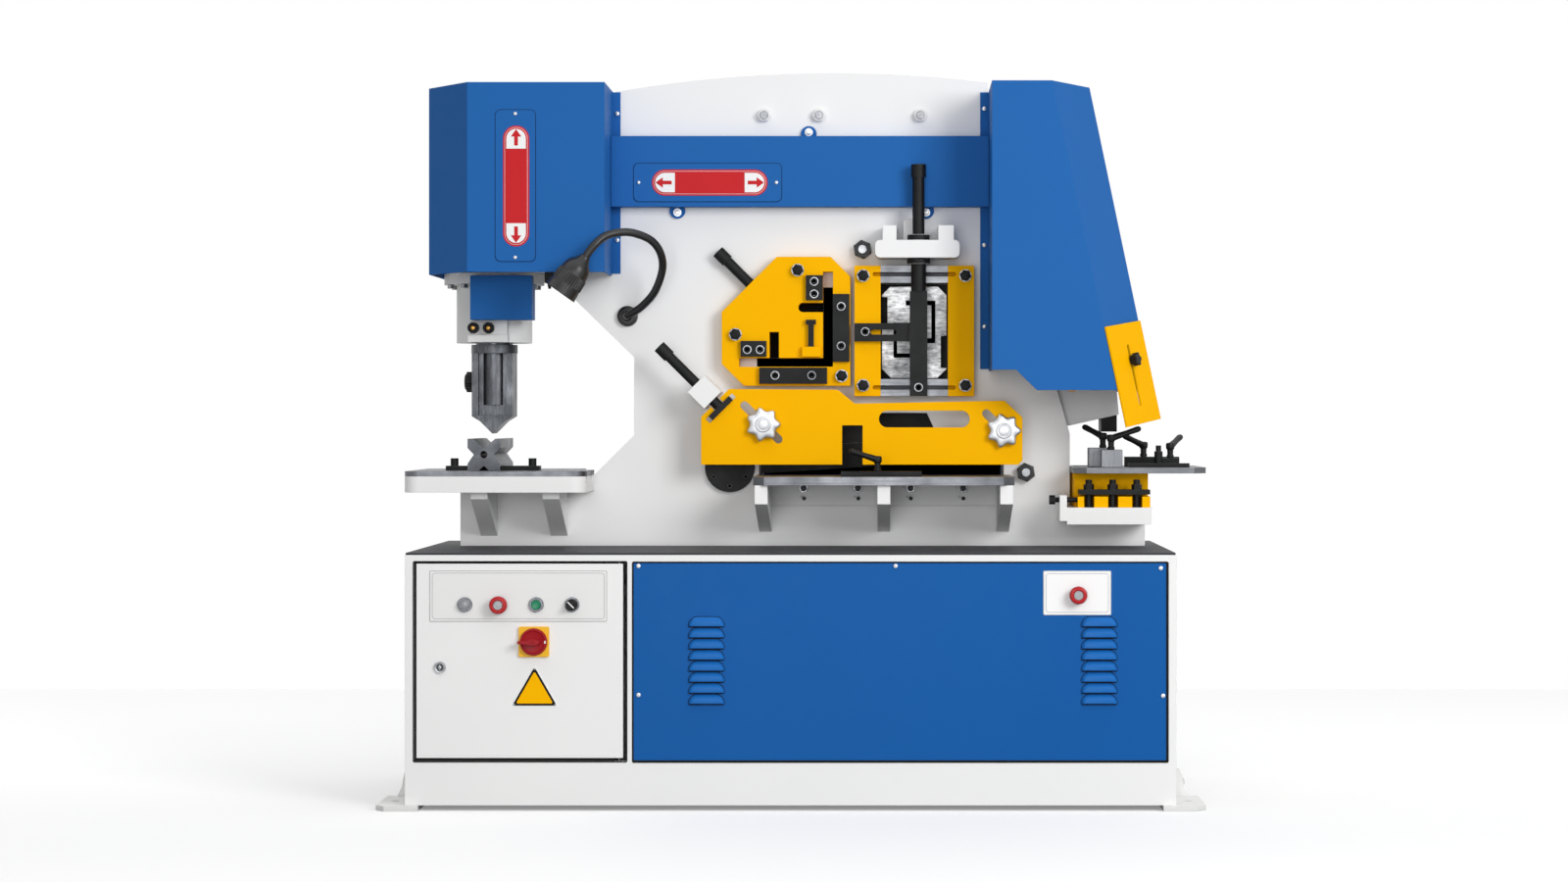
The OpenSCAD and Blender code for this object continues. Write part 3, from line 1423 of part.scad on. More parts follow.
// Black guides bolted to the face plates
module work_guides() {
  arm_z = [section_z - 25, section_z + 18];
  guide_t = 12;
  face = angle_y[0];
  color("black") {
    // Arm beside the clamp bar
    difference() {
      span([section_plate_x[0], section_screw_x - bar_w/2 - slide_gap],
        [section_y[0] - 16, section_y[0]], arm_z);
      plate_xz([section_y[0] - 17, section_y[0] + 1])
        slot_2d([section_plate_x[0] + 45, section_z - 3], [section_plate_x[0] + 95, section_z - 3], 12);
    }
    // Two guides inside the angle slots
    plate_xz([face - guide_t, face]) {
      rect_2d([angle_x - angle_slot - 41, angle_x - angle_slot], [angle_z + 160, angle_z + 220]);
      rect_2d([angle_x - 222, angle_x - 160], [angle_z + 24, angle_z + 62]);
    }
    // Two bars that hold the angle blades
    plate_xz([face - guide_t, face]) {
      rect_2d([angle_x, angle_x + angle_border - 2], [angle_z + 12, angle_z + 175]);
      rect_2d([angle_x - 177, angle_x - 14], [angle_z - angle_border + 1, angle_z - 2]);
    }
    // T bolt of the stop block
    plate_xz([face - guide_t, face]) {
      rect_2d([angle_x - angle_slot - 35, angle_x - angle_slot - 22], [angle_z + 48, angle_z + 102]);
      rect_2d([angle_x - angle_slot - 41, angle_x - angle_slot - 17], [angle_z + 102, angle_z + 113]);
    }
  }
}

guard_y = [face_y - guard_reach, face_y - guard_reach + guard_t];
guard_mid = face_y - guard_reach + guard_t/2;
guard_z = shear_z + guard_rise;
stars = [for (i = [0, 1]) [star_x[i], shear_z + star_rise[i]]];
slot_w = stud_d + 4;
diagonal = [1, -1]/sqrt(2);
// Foot of the guard's clamp screw: depth behind the slanted edge, width and thickness
foot_in = 12;
screw_foot_w = 68;
screw_foot_t = 13;
// Middle of the guard's slanted corner, where the clamp screw pushes
guard_corner = [shear_left - 97, guard_z + 148];

module guard_outline() {
  difference() {
    polygon([[shear_left - 131, guard_z], [shear_right + 15, guard_z], [shear_right + 25, guard_z + 10],
      [shear_right + 25, guard_z + 113], [shear_right - 18, guard_z + 153],
      [shear_left + 236, guard_z + 146], [shear_left + 196, guard_z + 179],
      [guard_corner[0] + 33, guard_z + 181], [shear_left - 131, guard_corner[1] - 34]]);
    rect_2d([shear_left + 206, shear_left + 255], [guard_z - 1, guard_z + 94]);
    slot_2d([shear_left + 314, guard_z + 109], [shear_left + 491, guard_z + 109], 40);
    slot_2d(stars[0] - diagonal*64, stars[0] + diagonal*50, slot_w);
    slot_2d(stars[1] - diagonal*58, stars[1] + diagonal*22, slot_w);
    // T slot for the foot of the clamp screw
    translate(guard_corner) rotate(-45) {
      rect_2d([-20, foot_in + 1], [-clamp_screw_d/2 - 2, clamp_screw_d/2 + 2]);
      rect_2d([foot_in, foot_in + screw_foot_t + slide_gap], [-screw_foot_w/2 - 10, screw_foot_w/2 + 10]);
    }
  }
}

module plate_guard() {
  color("gold") plate_xz(guard_y) guard_outline();
}

screw_dir = [1, 0, -1];
screw_back = 190;

// Clamp screw that carries the guard: head, shaft and a flat foot in the guard's T slot
module plate_screw() {
  color("black") translate([guard_corner[0], guard_mid, guard_corner[1]]) aim(screw_dir) {
    translate([0, 0, -screw_back]) cylinder(d = clamp_screw_d + 6, h = 34);
    translate([0, 0, -screw_back + 34]) cylinder(d = clamp_screw_d, h = screw_back - 34 + foot_in);
    translate([-screw_foot_w/2, -clamp_screw_d/2, foot_in]) cube([screw_foot_w, clamp_screw_d, screw_foot_t]);
  }
}

// White brackets welded to the front plate
module frame_brackets() {
  color("whitesmoke") {
    section_bracket();
    plate_screw_block();
    for (s = stars) star_stud(s);
    shear_table_brackets();
    punch_table_gussets();
    notch_guard_stud();
  }
}

module section_bracket() {
  x = [section_screw_x - 104, section_screw_x + 98];
  y = [screw_y - 36, face_y];
  difference() {
    union() {
      plate_xz(y) round_rect_2d(x, bracket_z, 12);
      for (lug = [[18, 51], [151, 188]])
        span([x[0] + lug[0], x[0] + lug[1]], [y[0], y[1]], [bracket_z[1], bracket_z[1] + 35]);
      // Boss below and lock nut above
      rod_z(section_screw_x, screw_y, section_screw_d + 24, [bracket_z[0] - boss_h, bracket_z[0]]);
      rod_z(section_screw_x, screw_y, section_screw_d + 24, [bracket_z[1], bracket_z[1] + boss_h]);
    }
    rod_z(section_screw_x, screw_y, section_screw_d + 2*run_gap,
      [bracket_z[0] - boss_h - 1, bracket_z[1] + boss_h + 1]);
    span([x[0] + 51, x[0] + 151], [y[0] + 70, y[1] + 1], [bracket_z[1] - 18, bracket_z[1] + 1]);
  }
}

block_side = 56;
block_back = 64;

module plate_screw_block() {
  difference() {
    translate([guard_corner[0], 0, guard_corner[1]]) rotate([0, -45, 0])
      span([-block_side/2, block_side/2], [guard_y[0] - 20, face_y],
        [block_back - block_side, block_back]);
    translate([guard_corner[0], guard_mid, guard_corner[1]]) aim(screw_dir)
      translate([0, 0, -screw_back]) cylinder(d = clamp_screw_d + 2*run_gap, h = screw_back);
  }
}

star_t = 24;

module star_stud(at) {
  rod_y(at[0], at[1], stud_d, [guard_y[0] - star_t, face_y]);
  rod_y(at[0], at[1], stud_d + 24, [guard_y[1] + slide_gap, face_y]);
}

rail_z = [shear_z - shear_t - 54, shear_z - shear_t];
function rail_bolt_x(i) = shear_left + 108 + i*127;

module shear_table_brackets() {
  for (x = [shear_left + 4, (shear_left + shear_right)/2 - 15, shear_right - 34])
    plate_yz([x, x + 30]) polygon([[face_y - shear_reach + 10, rail_z[1]],
      [face_y - shear_reach + 10, rail_z[1] - 44], [face_y - shear_reach + 40, rail_z[1] - 52],
      [face_y, shear_z - 138], [face_y, rail_z[1]]]);
  difference() {
    span([shear_left, shear_right], [face_y - 12, face_y], rail_z);
    for (i = [0 : 3]) rod_y(rail_bolt_x(i), rail_z[1] - 33, 6, [face_y - 13, face_y - 4]);
  }
  for (i = [0 : 3]) hex_y(rail_bolt_x(i), rail_z[1] - 12, 19, [face_y - 20, face_y - 12]);
}

module punch_table_gussets() {
  for (x = [ram_x, ram_x + 170]) plate_yz([x - 20, x + 20]) polygon([[face_y - table_reach + 34, seat_z],
    [face_y - table_reach + 34, seat_z - 16], [face_y, seat_z - 110], [face_y, seat_z]]);
}

// Star knob with round lobes and a bore for its stud
module star_knob(at) {
  y = [guard_y[0] - star_t, guard_y[0] - slide_gap];
  lobe_d = 22;
  color("silver") difference() {
    union() {
      plate_xz([y[0] + 4, y[1]]) translate(at) {
        circle(d = star_d - lobe_d);
        for (i = [0 : 6]) rotate(i*360/7) translate([(star_d - lobe_d)/2, 0]) circle(d = lobe_d);
      }
      rod_y(at[0], at[1], 40, y);
    }
    rod_y(at[0], at[1], stud_d + 2*run_gap, [y[0] - 1, y[1] + 1]);
  }
}

module left_star_knob() star_knob(stars[0]);

module right_star_knob() star_knob(stars[1]);

module shear_table() {
  corner = 26;
  y = [face_y - shear_reach, face_y];
  color("gray") translate([0, 0, shear_z - shear_t]) linear_extrude(shear_t)
    polygon([[shear_left + corner, y[0]], [shear_right - corner, y[0]], [shear_right, y[0] + corner],
    [shear_right, y[1]], [shear_left, y[1]], [shear_left, y[0] + corner]]);
}

gauge_x = shear_left + 205;
gauge_y = [face_y - shear_reach + 50, face_y - shear_reach + 86];
gauge_t = 12;
gauge_lever_x = gauge_x + 86;

// Gauge bar that slides along the shear table, with the stud of its clamp lever
module gauge_bar() {
  color("black") {
    difference() {
      span([gauge_x, gauge_x + gauge_l], gauge_y, [shear_z + slide_gap, shear_z + gauge_t]);
      plate_yz([gauge_x - 1, gauge_x + gauge_l + 1]) polygon([[gauge_y[0] - 1, shear_z + gauge_t + 1],
        [gauge_y[0] - 1, shear_z + gauge_t - 5], [gauge_y[0] + 5, shear_z + gauge_t + 1]]);
    }
    rod_z(gauge_lever_x, gauge_y[0] + 20, 10, [shear_z + gauge_t, shear_z + gauge_t + 20]);
  }
}

// Clamp lever: hub on a stud and a tapered arm that rises to a round end
lever_hub_h = 34;
lever_rise = 18;
lever_bore = 10;

module clamp_lever(at, turn, length) {
  translate(at) rotate(turn) difference() {
    union() {
      translate([0, 0, slide_gap]) cylinder(d = 16, h = lever_hub_h - 12);
      translate([0, 0, lever_hub_h - 14]) cylinder(d = 20, h = 14);
      translate([0, 0, lever_hub_h - 8]) rotate([0, 90 - lever_rise, 0]) {
        cylinder(d1 = 15, d2 = 11, h = length);
        translate([0, 0, length]) sphere(d = 11);
      }
    }
    translate([0, 0, -1]) cylinder(d = lever_bore + 2*run_gap, h = 22);
  }
}

module gauge_lever() {
  color("black") clamp_lever([gauge_lever_x, gauge_y[0] + 20, shear_z + gauge_t], 195, lever_l - 4);
}

// NOTCHER

notch_z = deck_z + notch_h;
shelf_z = [jaw_z, jaw_z + notch_shelf_t];
notch_y = [face_y - notch_reach, rear_y[1] - 10];
die_x = [frame_right + 6, die_right];
die_y = [face_y - 90, rear_y[1] - 20];
notch_hole_x = [die_x[0] + 8, die_x[0] + 124];
notch_hole_y = [beam_y[0] - 4, beam_y[1] + 4];

module notch_bracket() {
  left = frame_right - 33;
  color("whitesmoke") {
    span([frame_right - 16, jaw_x + 3], [notch_y[0], face_y], shelf_z);
    difference() {
      span([left, frame_right - 16], [notch_y[0], face_y], [shelf_z[0] + 8, shelf_z[1] + 29]);
      set_screw_shank(set_screw_d + 2*run_gap, [left - 1, frame_right - 15]);
    }
    difference() {
      span([frame_right + 2, jaw_x + 3], [face_y, rear_y[1]], shelf_z);
      span(notch_hole_x, notch_hole_y, [shelf_z[0] - 1, shelf_z[1] + 1]);
    }
  }
}

strap_z = [shelf_z[1] + 31, shelf_z[1] + 42];
strap_studs = [for (i = [0 : 2]) die_x[0] + 31 + i*57];
strap_y = notch_y[0] + 6;
strap_stud_d = 16;
set_screw_d = 12;

// Length of the die's set screw along X, through the shelf's left lip
module set_screw_shank(d, x) {
  translate([x[0], strap_y + 18, shelf_z[1] + 18]) rotate([0, 90, 0]) cylinder(d = d, h = x[1] - x[0]);
}

// Die body with the slug opening, and the four clamp blocks in front of it
module notch_die() {
  half = strap_stud_d/2 + 4;
  color("gold") {
    difference() {
      span(die_x, die_y, [shelf_z[1], notch_z - notch_t]);
      span(notch_hole_x, notch_hole_y, [shelf_z[1] - 1, notch_z - notch_t + 1]);
    }
    for (x = [[die_x[0] + 4, strap_studs[0] - half], [strap_studs[0] + half, strap_studs[1] - half],
      [strap_studs[1] + half, strap_studs[2] - half], [strap_studs[2] + half, die_x[1]]])
      span(x, [strap_y, die_y[0]], [shelf_z[1], shelf_z[1] + 26]);
  }
}

// Clamp strap across the die's front, with its studs and nuts
module die_strap() {
  span([die_x[0] + 8, die_x[1]], [strap_y, die_y[0]], strap_z);
  for (x = strap_studs) {
    rod_z(x, strap_y + 18, strap_stud_d, [shelf_z[1], strap_z[0]]);
    rod_z(x, strap_y + 18, strap_stud_d, [strap_z[1], strap_z[1] + 24]);
    translate([x, strap_y + 18, strap_z[1]]) cylinder(d = 25, h = 13, $fn = 6);
  }
}

module notch_table() {
  corner = 30;
  color("gray") difference() {
    translate([0, 0, notch_z - notch_t]) linear_extrude(notch_t) polygon([
      [frame_right + 1, notch_y[0] + corner/2], [frame_right + 1 + corner, notch_y[0]],
      [notch_right - corner, notch_y[0]], [notch_right, notch_y[0] + corner],
      [notch_right, notch_y[1] - corner], [notch_right - corner, notch_y[1]], [frame_right + 1, notch_y[1]]]);
    span(notch_hole_x, notch_hole_y, [notch_z - notch_t - 1, notch_z + 1]);
  }
}

stop_top = 42;
// Lever studs: place, height above the table and turn of the lever
lever_at = [[frame_right + 76, face_y - 60, stop_top + 4], [frame_right + 91, face_y - 125, stop_top],
  [frame_right + 177, face_y - 20, 24], [frame_right + 236, face_y - 80, 22]];
lever_turn = [125, 15, 226, 65];

// Stop blocks, guide bars and their lever studs on the notcher table
module notch_stops() {
  color("dimgray") {
    die_strap();
    set_screw_shank(set_screw_d, [frame_right - 44, die_x[0] + 4]);
    translate([frame_right - 57, strap_y + 18, shelf_z[1] + 18]) rotate([0, 90, 0])
      cylinder(d = 22, h = 14, $fn = 6);
    span([frame_right + 67, frame_right + 116], [face_y - 152, face_y - 102], [notch_z, notch_z + stop_top]);
    span([frame_right + 41, frame_right + 98], [face_y - 85, face_y - 35], [notch_z, notch_z + stop_top + 4]);
    span([frame_right + 131, frame_right + 276], [face_y - 146, face_y - 122], [notch_z, notch_z + 10]);
    span([frame_right + 131, frame_right + 262], [face_y - 34, face_y - 6], [notch_z, notch_z + 24]);
    span([frame_right + 216, frame_right + 256], [face_y - 100, face_y - 60], [notch_z, notch_z + 22]);
    rod_z(frame_right + 205, face_y - 112, 20, [notch_z, notch_z + 38]);
    rod_z(frame_right + 205, face_y - 112, 13, [notch_z + 38, notch_z + 52]);
    for (a = lever_at) rod_z(a[0], a[1], lever_bore, [notch_z + a[2], notch_z + a[2] + 20]);
  }
}

module notch_lever(i) {
  color("black") clamp_lever([lever_at[i][0], lever_at[i][1], notch_z + lever_at[i][2]],
    lever_turn[i], lever_l);
}

module notch_lever_1() notch_lever(0);
module notch_lever_2() notch_lever(1);
module notch_lever_3() notch_lever(2);
module notch_lever_4() notch_lever(3);

// Guard in front of the cover's slanted side: its own plane, u across and w along the slope
guard_gap = 1;
slant_angle = atan2(cyl_slant_depth, cyl_slant);
notch_guard_low = -833;
notch_slot_l = 138;
notch_knob_w = notch_guard_low + 152;

// Frame on the outside of the slanted sheet: X across it, Y inwards, Z along the fold
module on_slant() {
  translate([cyl_fold_x, 0, cover_top_z]) rotate([0, -rod_tilt, 0])
    translate([0, face_y - cyl_cover_reach, 0]) rotate([0, 0, slant_angle]) children();
}

slant_mid = norm([cyl_slant, cyl_slant_depth])/2;

module notch_guard() {
  u = [slant_mid - notch_guard_w/2, slant_mid + notch_guard_w/2];
  color("gold") on_slant() plate_xz([-guard_gap - notch_guard_t, -guard_gap]) difference() {
    rect_2d(u, [notch_guard_low, notch_guard_low + notch_guard_l]);
    slot_2d([slant_mid, notch_knob_w + 33], [slant_mid, notch_knob_w + 33 - notch_slot_l], 11);
  }
}

module notch_guard_stud() {
  on_slant() rod_y(slant_mid, notch_knob_w, 8, [-guard_gap - notch_guard_t - 14, 0]);
}

module notch_guard_knob() {
  y = [-guard_gap - notch_guard_t - 20, -guard_gap - notch_guard_t - slide_gap];
  color("black") on_slant() difference() {
    union() {
      plate_xz([y[0], y[1] - 5]) translate([slant_mid, notch_knob_w]) {
        circle(d = 24);
        for (i = [0 : 4]) rotate(i*72) translate([11, 0]) circle(d = 10);
      }
      rod_y(slant_mid, notch_knob_w, 18, [y[0], y[1]]);
    }
    rod_y(slant_mid, notch_knob_w, 8 + 2*run_gap, [y[0] + 5, y[1] + 1]);
  }
}

// LAMP

lamp_z = deck_z + lamp_h;
lamp_base_t = 14;
// Route of the gooseneck from the middle of its base
neck_route = [[0, 0, 0], [12, -14, 6], [38, -31, 22], [71, -61, 56], [92, -94, 107], [90, -124, 145],
  [71, -151, 173], [38, -176, 188], [5, -196, 191], [-32, -216, 181], [-59, -229, 157], [-81, -231, 127]];
neck_sides = 10;
neck_steps = 2;

function mix(p, i, t) = let (n = len(p) - 1, a = p[max(i - 1, 0)], b = p[i], c = p[min(i + 1, n)],
  d = p[min(i + 2, n)])
  0.5*(2*b + (c - a)*t + (2*a - 5*b + 4*c - d)*t*t + (3*b - a - 3*c + d)*t*t*t);
neck_points = concat([for (i = [0 : len(neck_route) - 2], k = [0 : neck_steps - 1])
  mix(neck_route, i, k/neck_steps)], [neck_route[len(neck_route) - 1]]);
neck_n = len(neck_points);
function neck_dir(i) = unit(neck_points[min(i + 1, neck_n - 1)] - neck_points[max(i - 1, 0)]);
function neck_ring(i) = let (d = i == 0 ? [0, -1, 0] : neck_dir(i),
  s = unit(cross(d, [0.3, 0.2, 1])), t = cross(d, s))
  [for (k = [0 : neck_sides - 1]) neck_points[i]
    + neck_d/2*(cos(k*360/neck_sides)*s + sin(k*360/neck_sides)*t)];

module gooseneck() {
  rings = [for (i = [0 : neck_n - 1]) each neck_ring(i)];
  sides = [for (i = [0 : neck_n - 2], k = [0 : neck_sides - 1]) let (a = i*neck_sides, b = a + neck_sides,
    m = (k + 1) % neck_sides) each [[a + k, b + k, b + m], [a + k, b + m, a + m]]];
  ends = [[for (k = [0 : neck_sides - 1]) k],
    [for (k = [neck_sides - 1 : -1 : 0]) (neck_n - 1)*neck_sides + k]];
  polyhedron(rings, concat(sides, ends));
}

module work_lamp() {
  base_y = face_y - lamp_base_t;
  tip = neck_points[neck_n - 1];
  color("black") {
    rod_y(lamp_x, lamp_z, lamp_base_d, [base_y, face_y]);
    translate([lamp_x, base_y, lamp_z]) gooseneck();
    translate([lamp_x, base_y, lamp_z] + tip) aim(neck_dir(neck_n - 1)) rotate_extrude() polygon([
      [0, 0], [14, 0], [17, 6], [28, 18], [35, 40], [lamp_d/2, lamp_l], [lamp_d/2 - 3, lamp_l],
      [lamp_d/2 - 4, lamp_l - 6], [0, lamp_l - 6]]);
  }
}

base_cabinet();
anchor_feet();
deck_plate();
front_panel();
panel_stop_button();
electrical_door();
door_fittings();
door_stop_button();
start_button();
mode_selector();
main_switch_handle();
door_lock();
electrical_gear();
oil_tank();
pump_set();
front_frame_plate();
rear_frame_plate();
frame_ties();
frame_brackets();
pivot_shaft();
shear_beam();
beam_pins();
moving_blades();
fixed_blades();
shear_cylinder();
shear_rod();
punch_cover();
cylinder_cover();
frame_covers();
punch_cylinder();
punch_ram();
bending_punch();
tool_knob();
punch_table();
punch_table_top();
vee_die();
die_clamps();
angle_plate();
angle_screw();
section_plate();
section_screw();
work_guides();
plate_guard();
plate_screw();
left_star_knob();
right_star_knob();
shear_table();
gauge_bar();
gauge_lever();
notch_bracket();
notch_die();
notch_table();
notch_stops();
notch_lever_1();
notch_lever_2();
notch_lever_3();
notch_lever_4();
notch_guard();
notch_guard_knob();
work_lamp();
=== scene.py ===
import math

import bmesh
import bpy
from mathutils import Matrix, Vector


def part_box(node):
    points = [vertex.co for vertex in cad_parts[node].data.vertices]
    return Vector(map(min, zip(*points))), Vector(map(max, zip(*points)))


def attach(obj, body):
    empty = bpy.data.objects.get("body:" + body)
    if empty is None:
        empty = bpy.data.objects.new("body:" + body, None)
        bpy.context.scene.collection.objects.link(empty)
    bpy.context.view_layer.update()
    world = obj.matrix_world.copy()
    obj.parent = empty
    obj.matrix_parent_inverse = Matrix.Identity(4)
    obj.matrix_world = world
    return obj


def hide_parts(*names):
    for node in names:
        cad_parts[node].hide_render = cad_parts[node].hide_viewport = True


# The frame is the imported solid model. Its nodes are shown or give way to a finer piece, and the
# pieces made below are seated on its faces, in metres, X to the right, Y to the back and Z up.
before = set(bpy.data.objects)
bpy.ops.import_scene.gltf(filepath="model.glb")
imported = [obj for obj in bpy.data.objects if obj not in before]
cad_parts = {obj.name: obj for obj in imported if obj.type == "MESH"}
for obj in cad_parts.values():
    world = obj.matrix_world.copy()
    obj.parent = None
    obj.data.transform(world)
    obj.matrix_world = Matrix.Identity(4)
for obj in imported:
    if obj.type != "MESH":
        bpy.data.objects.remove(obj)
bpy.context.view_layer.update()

# STUDIO
# A pale sweep with soft light: a large softbox in front on the right, a weaker one in front on
# the left and an even glow from above, so that paint keeps its written colour and the floor
# stays white.


def linear(code):
    channels = [int(code[i:i + 2], 16) / 255 for i in (1, 3, 5)]
    return tuple(c / 12.92 if c <= 0.04045 else ((c + 0.055) / 1.055) ** 2.4
                 for c in channels) + (1.0,)


def add_node(tree, kind, values, links, **fields):
    # The kind may also be the name of a node that the tree already has
    made = tree.nodes.get(kind) or tree.nodes.new(kind)
    for field, value in fields.items():
        setattr(made, field, value)
    for socket, value in values.items():
        made.inputs[socket].default_value = value
    for socket, source in links.items():
        tree.links.new(source, made.inputs[socket])
    return made


scene = bpy.context.scene
scene.view_settings.view_transform = "Standard"

lens = bpy.data.cameras.new("camera")
lens.lens = 70.8
lens.sensor_width = 36.0
lens.shift_x = -0.0656
lens.shift_y = -0.0156
camera = bpy.data.objects.new("camera", lens)
camera.location = (0.221, -7.43, 0.905)
camera.rotation_euler = (math.radians(90), 0, 0)
scene.collection.objects.link(camera)
scene.camera = camera

room = bpy.data.worlds.new("pale_room")
room.use_nodes = True
scene.world = room
sky = room.node_tree
sky.nodes.clear()
room_light, room_seen = 0.24, 1.0


def seen_or_mirrored(tree, hidden_level, seen_level):
    # One level for what the camera or a mirror sees, another for the light on the object
    rays = add_node(tree, "ShaderNodeLightPath", {}, {}).outputs
    direct = add_node(tree, "ShaderNodeMath", {},
                      {0: rays["Is Camera Ray"], 1: rays["Is Glossy Ray"]}, operation="MAXIMUM")
    seen = add_node(tree, "ShaderNodeMath", {},
                    {0: direct.outputs[0], 1: rays["Is Transmission Ray"]}, operation="MAXIMUM")
    return add_node(tree, "ShaderNodeMapRange", {"To Min": hidden_level, "To Max": seen_level},
                    {"Value": seen.outputs[0]})


level = seen_or_mirrored(sky, room_light, room_seen)
glow = add_node(sky, "ShaderNodeBackground", {"Color": (1, 1, 1, 1)},
                {"Strength": level.outputs[0]})
add_node(sky, "ShaderNodeOutputWorld", {}, {"Surface": glow.outputs[0]})


def softbox(name, place, target, side, power):
    lamp = bpy.data.lights.new(name, "AREA")
    lamp.shape = "RECTANGLE"
    lamp.size = lamp.size_y = side
    lamp.energy = power
    holder = bpy.data.objects.new(name, lamp)
    holder.location = place
    way = Vector(target) - Vector(place)
    holder.rotation_euler = way.to_track_quat("-Z", "Y").to_euler()
    scene.collection.objects.link(holder)


softbox("key_softbox", (3.7, -5.0, 2.9), (0.2, 0, 1.1), 2.6, 222)
softbox("fill_softbox", (-0.6, -6.8, 1.2), (0, 0, 0.8), 2.4, 98)
glow_lamp = bpy.data.lights.new("overhead_glow", "SUN")
glow_lamp.energy = 1.6
glow_lamp.angle = math.radians(100)
scene.collection.objects.link(bpy.data.objects.new("overhead_glow", glow_lamp))

floor_side, floor_near, floor_far = 7, -8, 2.8
floor_mesh = bpy.data.meshes.new("floor")
floor_mesh.from_pydata([(-floor_side, floor_near, 0), (floor_side, floor_near, 0),
                        (floor_side, floor_far, 0), (-floor_side, floor_far, 0)],
                       [], [(0, 1, 2, 3)])
floor = bpy.data.objects.new("floor", floor_mesh)
scene.collection.objects.link(floor)
pale_floor = bpy.data.materials.new("pale_floor")
pale_floor.use_nodes = True
floor_tree = pale_floor.node_tree
# The tone falls off a little towards the viewer and to the right, where the lamps are nearer
floor_tone = seen_or_mirrored(floor_tree, 0.40, 0.93)
floor_glow = seen_or_mirrored(floor_tree, 0.0, 0.225)
floor_place = add_node(floor_tree, "ShaderNodeTexCoord", {}, {})
floor_axes = add_node(floor_tree, "ShaderNodeSeparateXYZ", {}, {0: floor_place.outputs["Object"]})
away = add_node(floor_tree, "ShaderNodeMapRange",
                {"From Min": -1.2, "From Max": 1.2, "To Min": 0.80, "To Max": 1.0},
                {"Value": floor_axes.outputs["Y"]}, interpolation_type="SMOOTHSTEP")
across = add_node(floor_tree, "ShaderNodeMapRange",
                  {"From Min": -2.0, "From Max": 2.5, "To Min": 1.0, "To Max": 0.88},
                  {"Value": floor_axes.outputs["X"]}, interpolation_type="SMOOTHSTEP")
falling = add_node(floor_tree, "ShaderNodeMath", {}, {0: away.outputs[0], 1: across.outputs[0]},
                   operation="MULTIPLY")
floor_shade = add_node(floor_tree, "ShaderNodeMath", {},
                       {0: floor_tone.outputs[0], 1: falling.outputs[0]}, operation="MULTIPLY")
add_node(floor_tree, "Principled BSDF",
         {"Roughness": 0.7, "Specular IOR Level": 0.1, "Emission Color": (1, 1, 1, 1)},
         {"Base Color": floor_shade.outputs[0], "Emission Strength": floor_glow.outputs[0]})
floor_mesh.materials.append(pale_floor)

# BASE CABINET AND FEET
# A box of folded and welded steel sheet with heavy foot plates, powder coated in white.
# The feet are welded under the corners and take floor anchors.


def painted_steel(name, face, shade, roughness, peel_mm=3.0, peel=0.06, specular=0.22):
    # Powder coat: an even satin film with a fine orange peel, drawn at 3 mm so that it shows,
    # softly rounded edges, and painted shade that faintly darkens the corners.
    cloud_mm, gloss_mm, corner_reach = 420, 60, 0.03
    paint = bpy.data.materials.new(name)
    paint.use_nodes = True
    tree = paint.node_tree
    place = {"Vector": add_node(tree, "ShaderNodeTexCoord", {}, {}).outputs["Object"]}
    cloud = add_node(tree, "ShaderNodeTexNoise", {"Scale": 1000 / cloud_mm, "Detail": 3.0}, place)
    tone = add_node(tree, "ShaderNodeMix", {6: linear(face), 7: linear(shade)},
                    {0: cloud.outputs[0]}, data_type="RGBA")
    # Painted shade: occlusion darkens the colour in corners and creases
    corner = add_node(tree, "ShaderNodeAmbientOcclusion", {"Distance": corner_reach}, {}, samples=4)
    depth = add_node(tree, "ShaderNodeMapRange",
                     {"From Min": 0.1, "From Max": 0.7, "To Min": 0.74, "To Max": 1.0},
                     {"Value": corner.outputs["AO"]})
    corner_shade = add_node(tree, "ShaderNodeMix", {0: 1.0}, {6: tone.outputs[2], 7: depth.outputs[0]},
                     data_type="RGBA", blend_type="MULTIPLY")
    grain = add_node(tree, "ShaderNodeTexNoise", {"Scale": 1000 / gloss_mm, "Detail": 4.0}, place)
    gloss = add_node(tree, "ShaderNodeMapRange",
                     {"To Min": roughness - 0.06, "To Max": roughness + 0.08},
                     {"Value": grain.outputs[0]})
    edge = add_node(tree, "ShaderNodeBevel", {"Radius": 0.0016}, {}, samples=4)
    skin = add_node(tree, "ShaderNodeTexNoise", {"Scale": 1000 / peel_mm, "Detail": 2.0}, place)
    bump = add_node(tree, "ShaderNodeBump", {"Strength": peel, "Distance": 0.0004},
                    {"Height": skin.outputs[0], "Normal": edge.outputs[0]})
    add_node(tree, "Principled BSDF", {"Specular IOR Level": specular},
             {"Base Color": corner_shade.outputs[2], "Roughness": gloss.outputs[0],
              "Normal": bump.outputs[0]})
    return paint


def dress(material, *names):
    for name in names:
        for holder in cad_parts[name].material_slots:
            holder.material = material


# White powder coat: bright and even on the sheet, and a shade greyer on the feet as painted shade
white_coat = painted_steel("white_powder_coat", "#EFEFEE", "#E9E9E9", 0.42)
foot_shaded_coat = painted_steel("white_foot_coat_painted_shade", "#E8E8E7", "#E1E1E0", 0.5)
dress(white_coat, "base_cabinet")
dress(foot_shaded_coat, "anchor_feet")

# DECK
# The steel plate that closes the cabinet's top and carries the frame, in dark textured paint.
# Its grain is coarse, so that it looks matt and hides scratches.
deck_coat = painted_steel("dark_textured_coat", "#3B3C3F", "#303134", 0.55, 5.0, 0.25)
dress(deck_coat, "deck_plate")

# FRONT PANEL
# A removable steel sheet with two columns of pressed louvres, in blue powder coat. Five small
# screws hold it in the cabinet's opening.


def facing_front(x, y, z):
    # Local Z points at the operator, local X to the right and local Y up
    return Matrix.Translation((x, y, z)) @ Matrix.Rotation(math.radians(90), 4, "X")


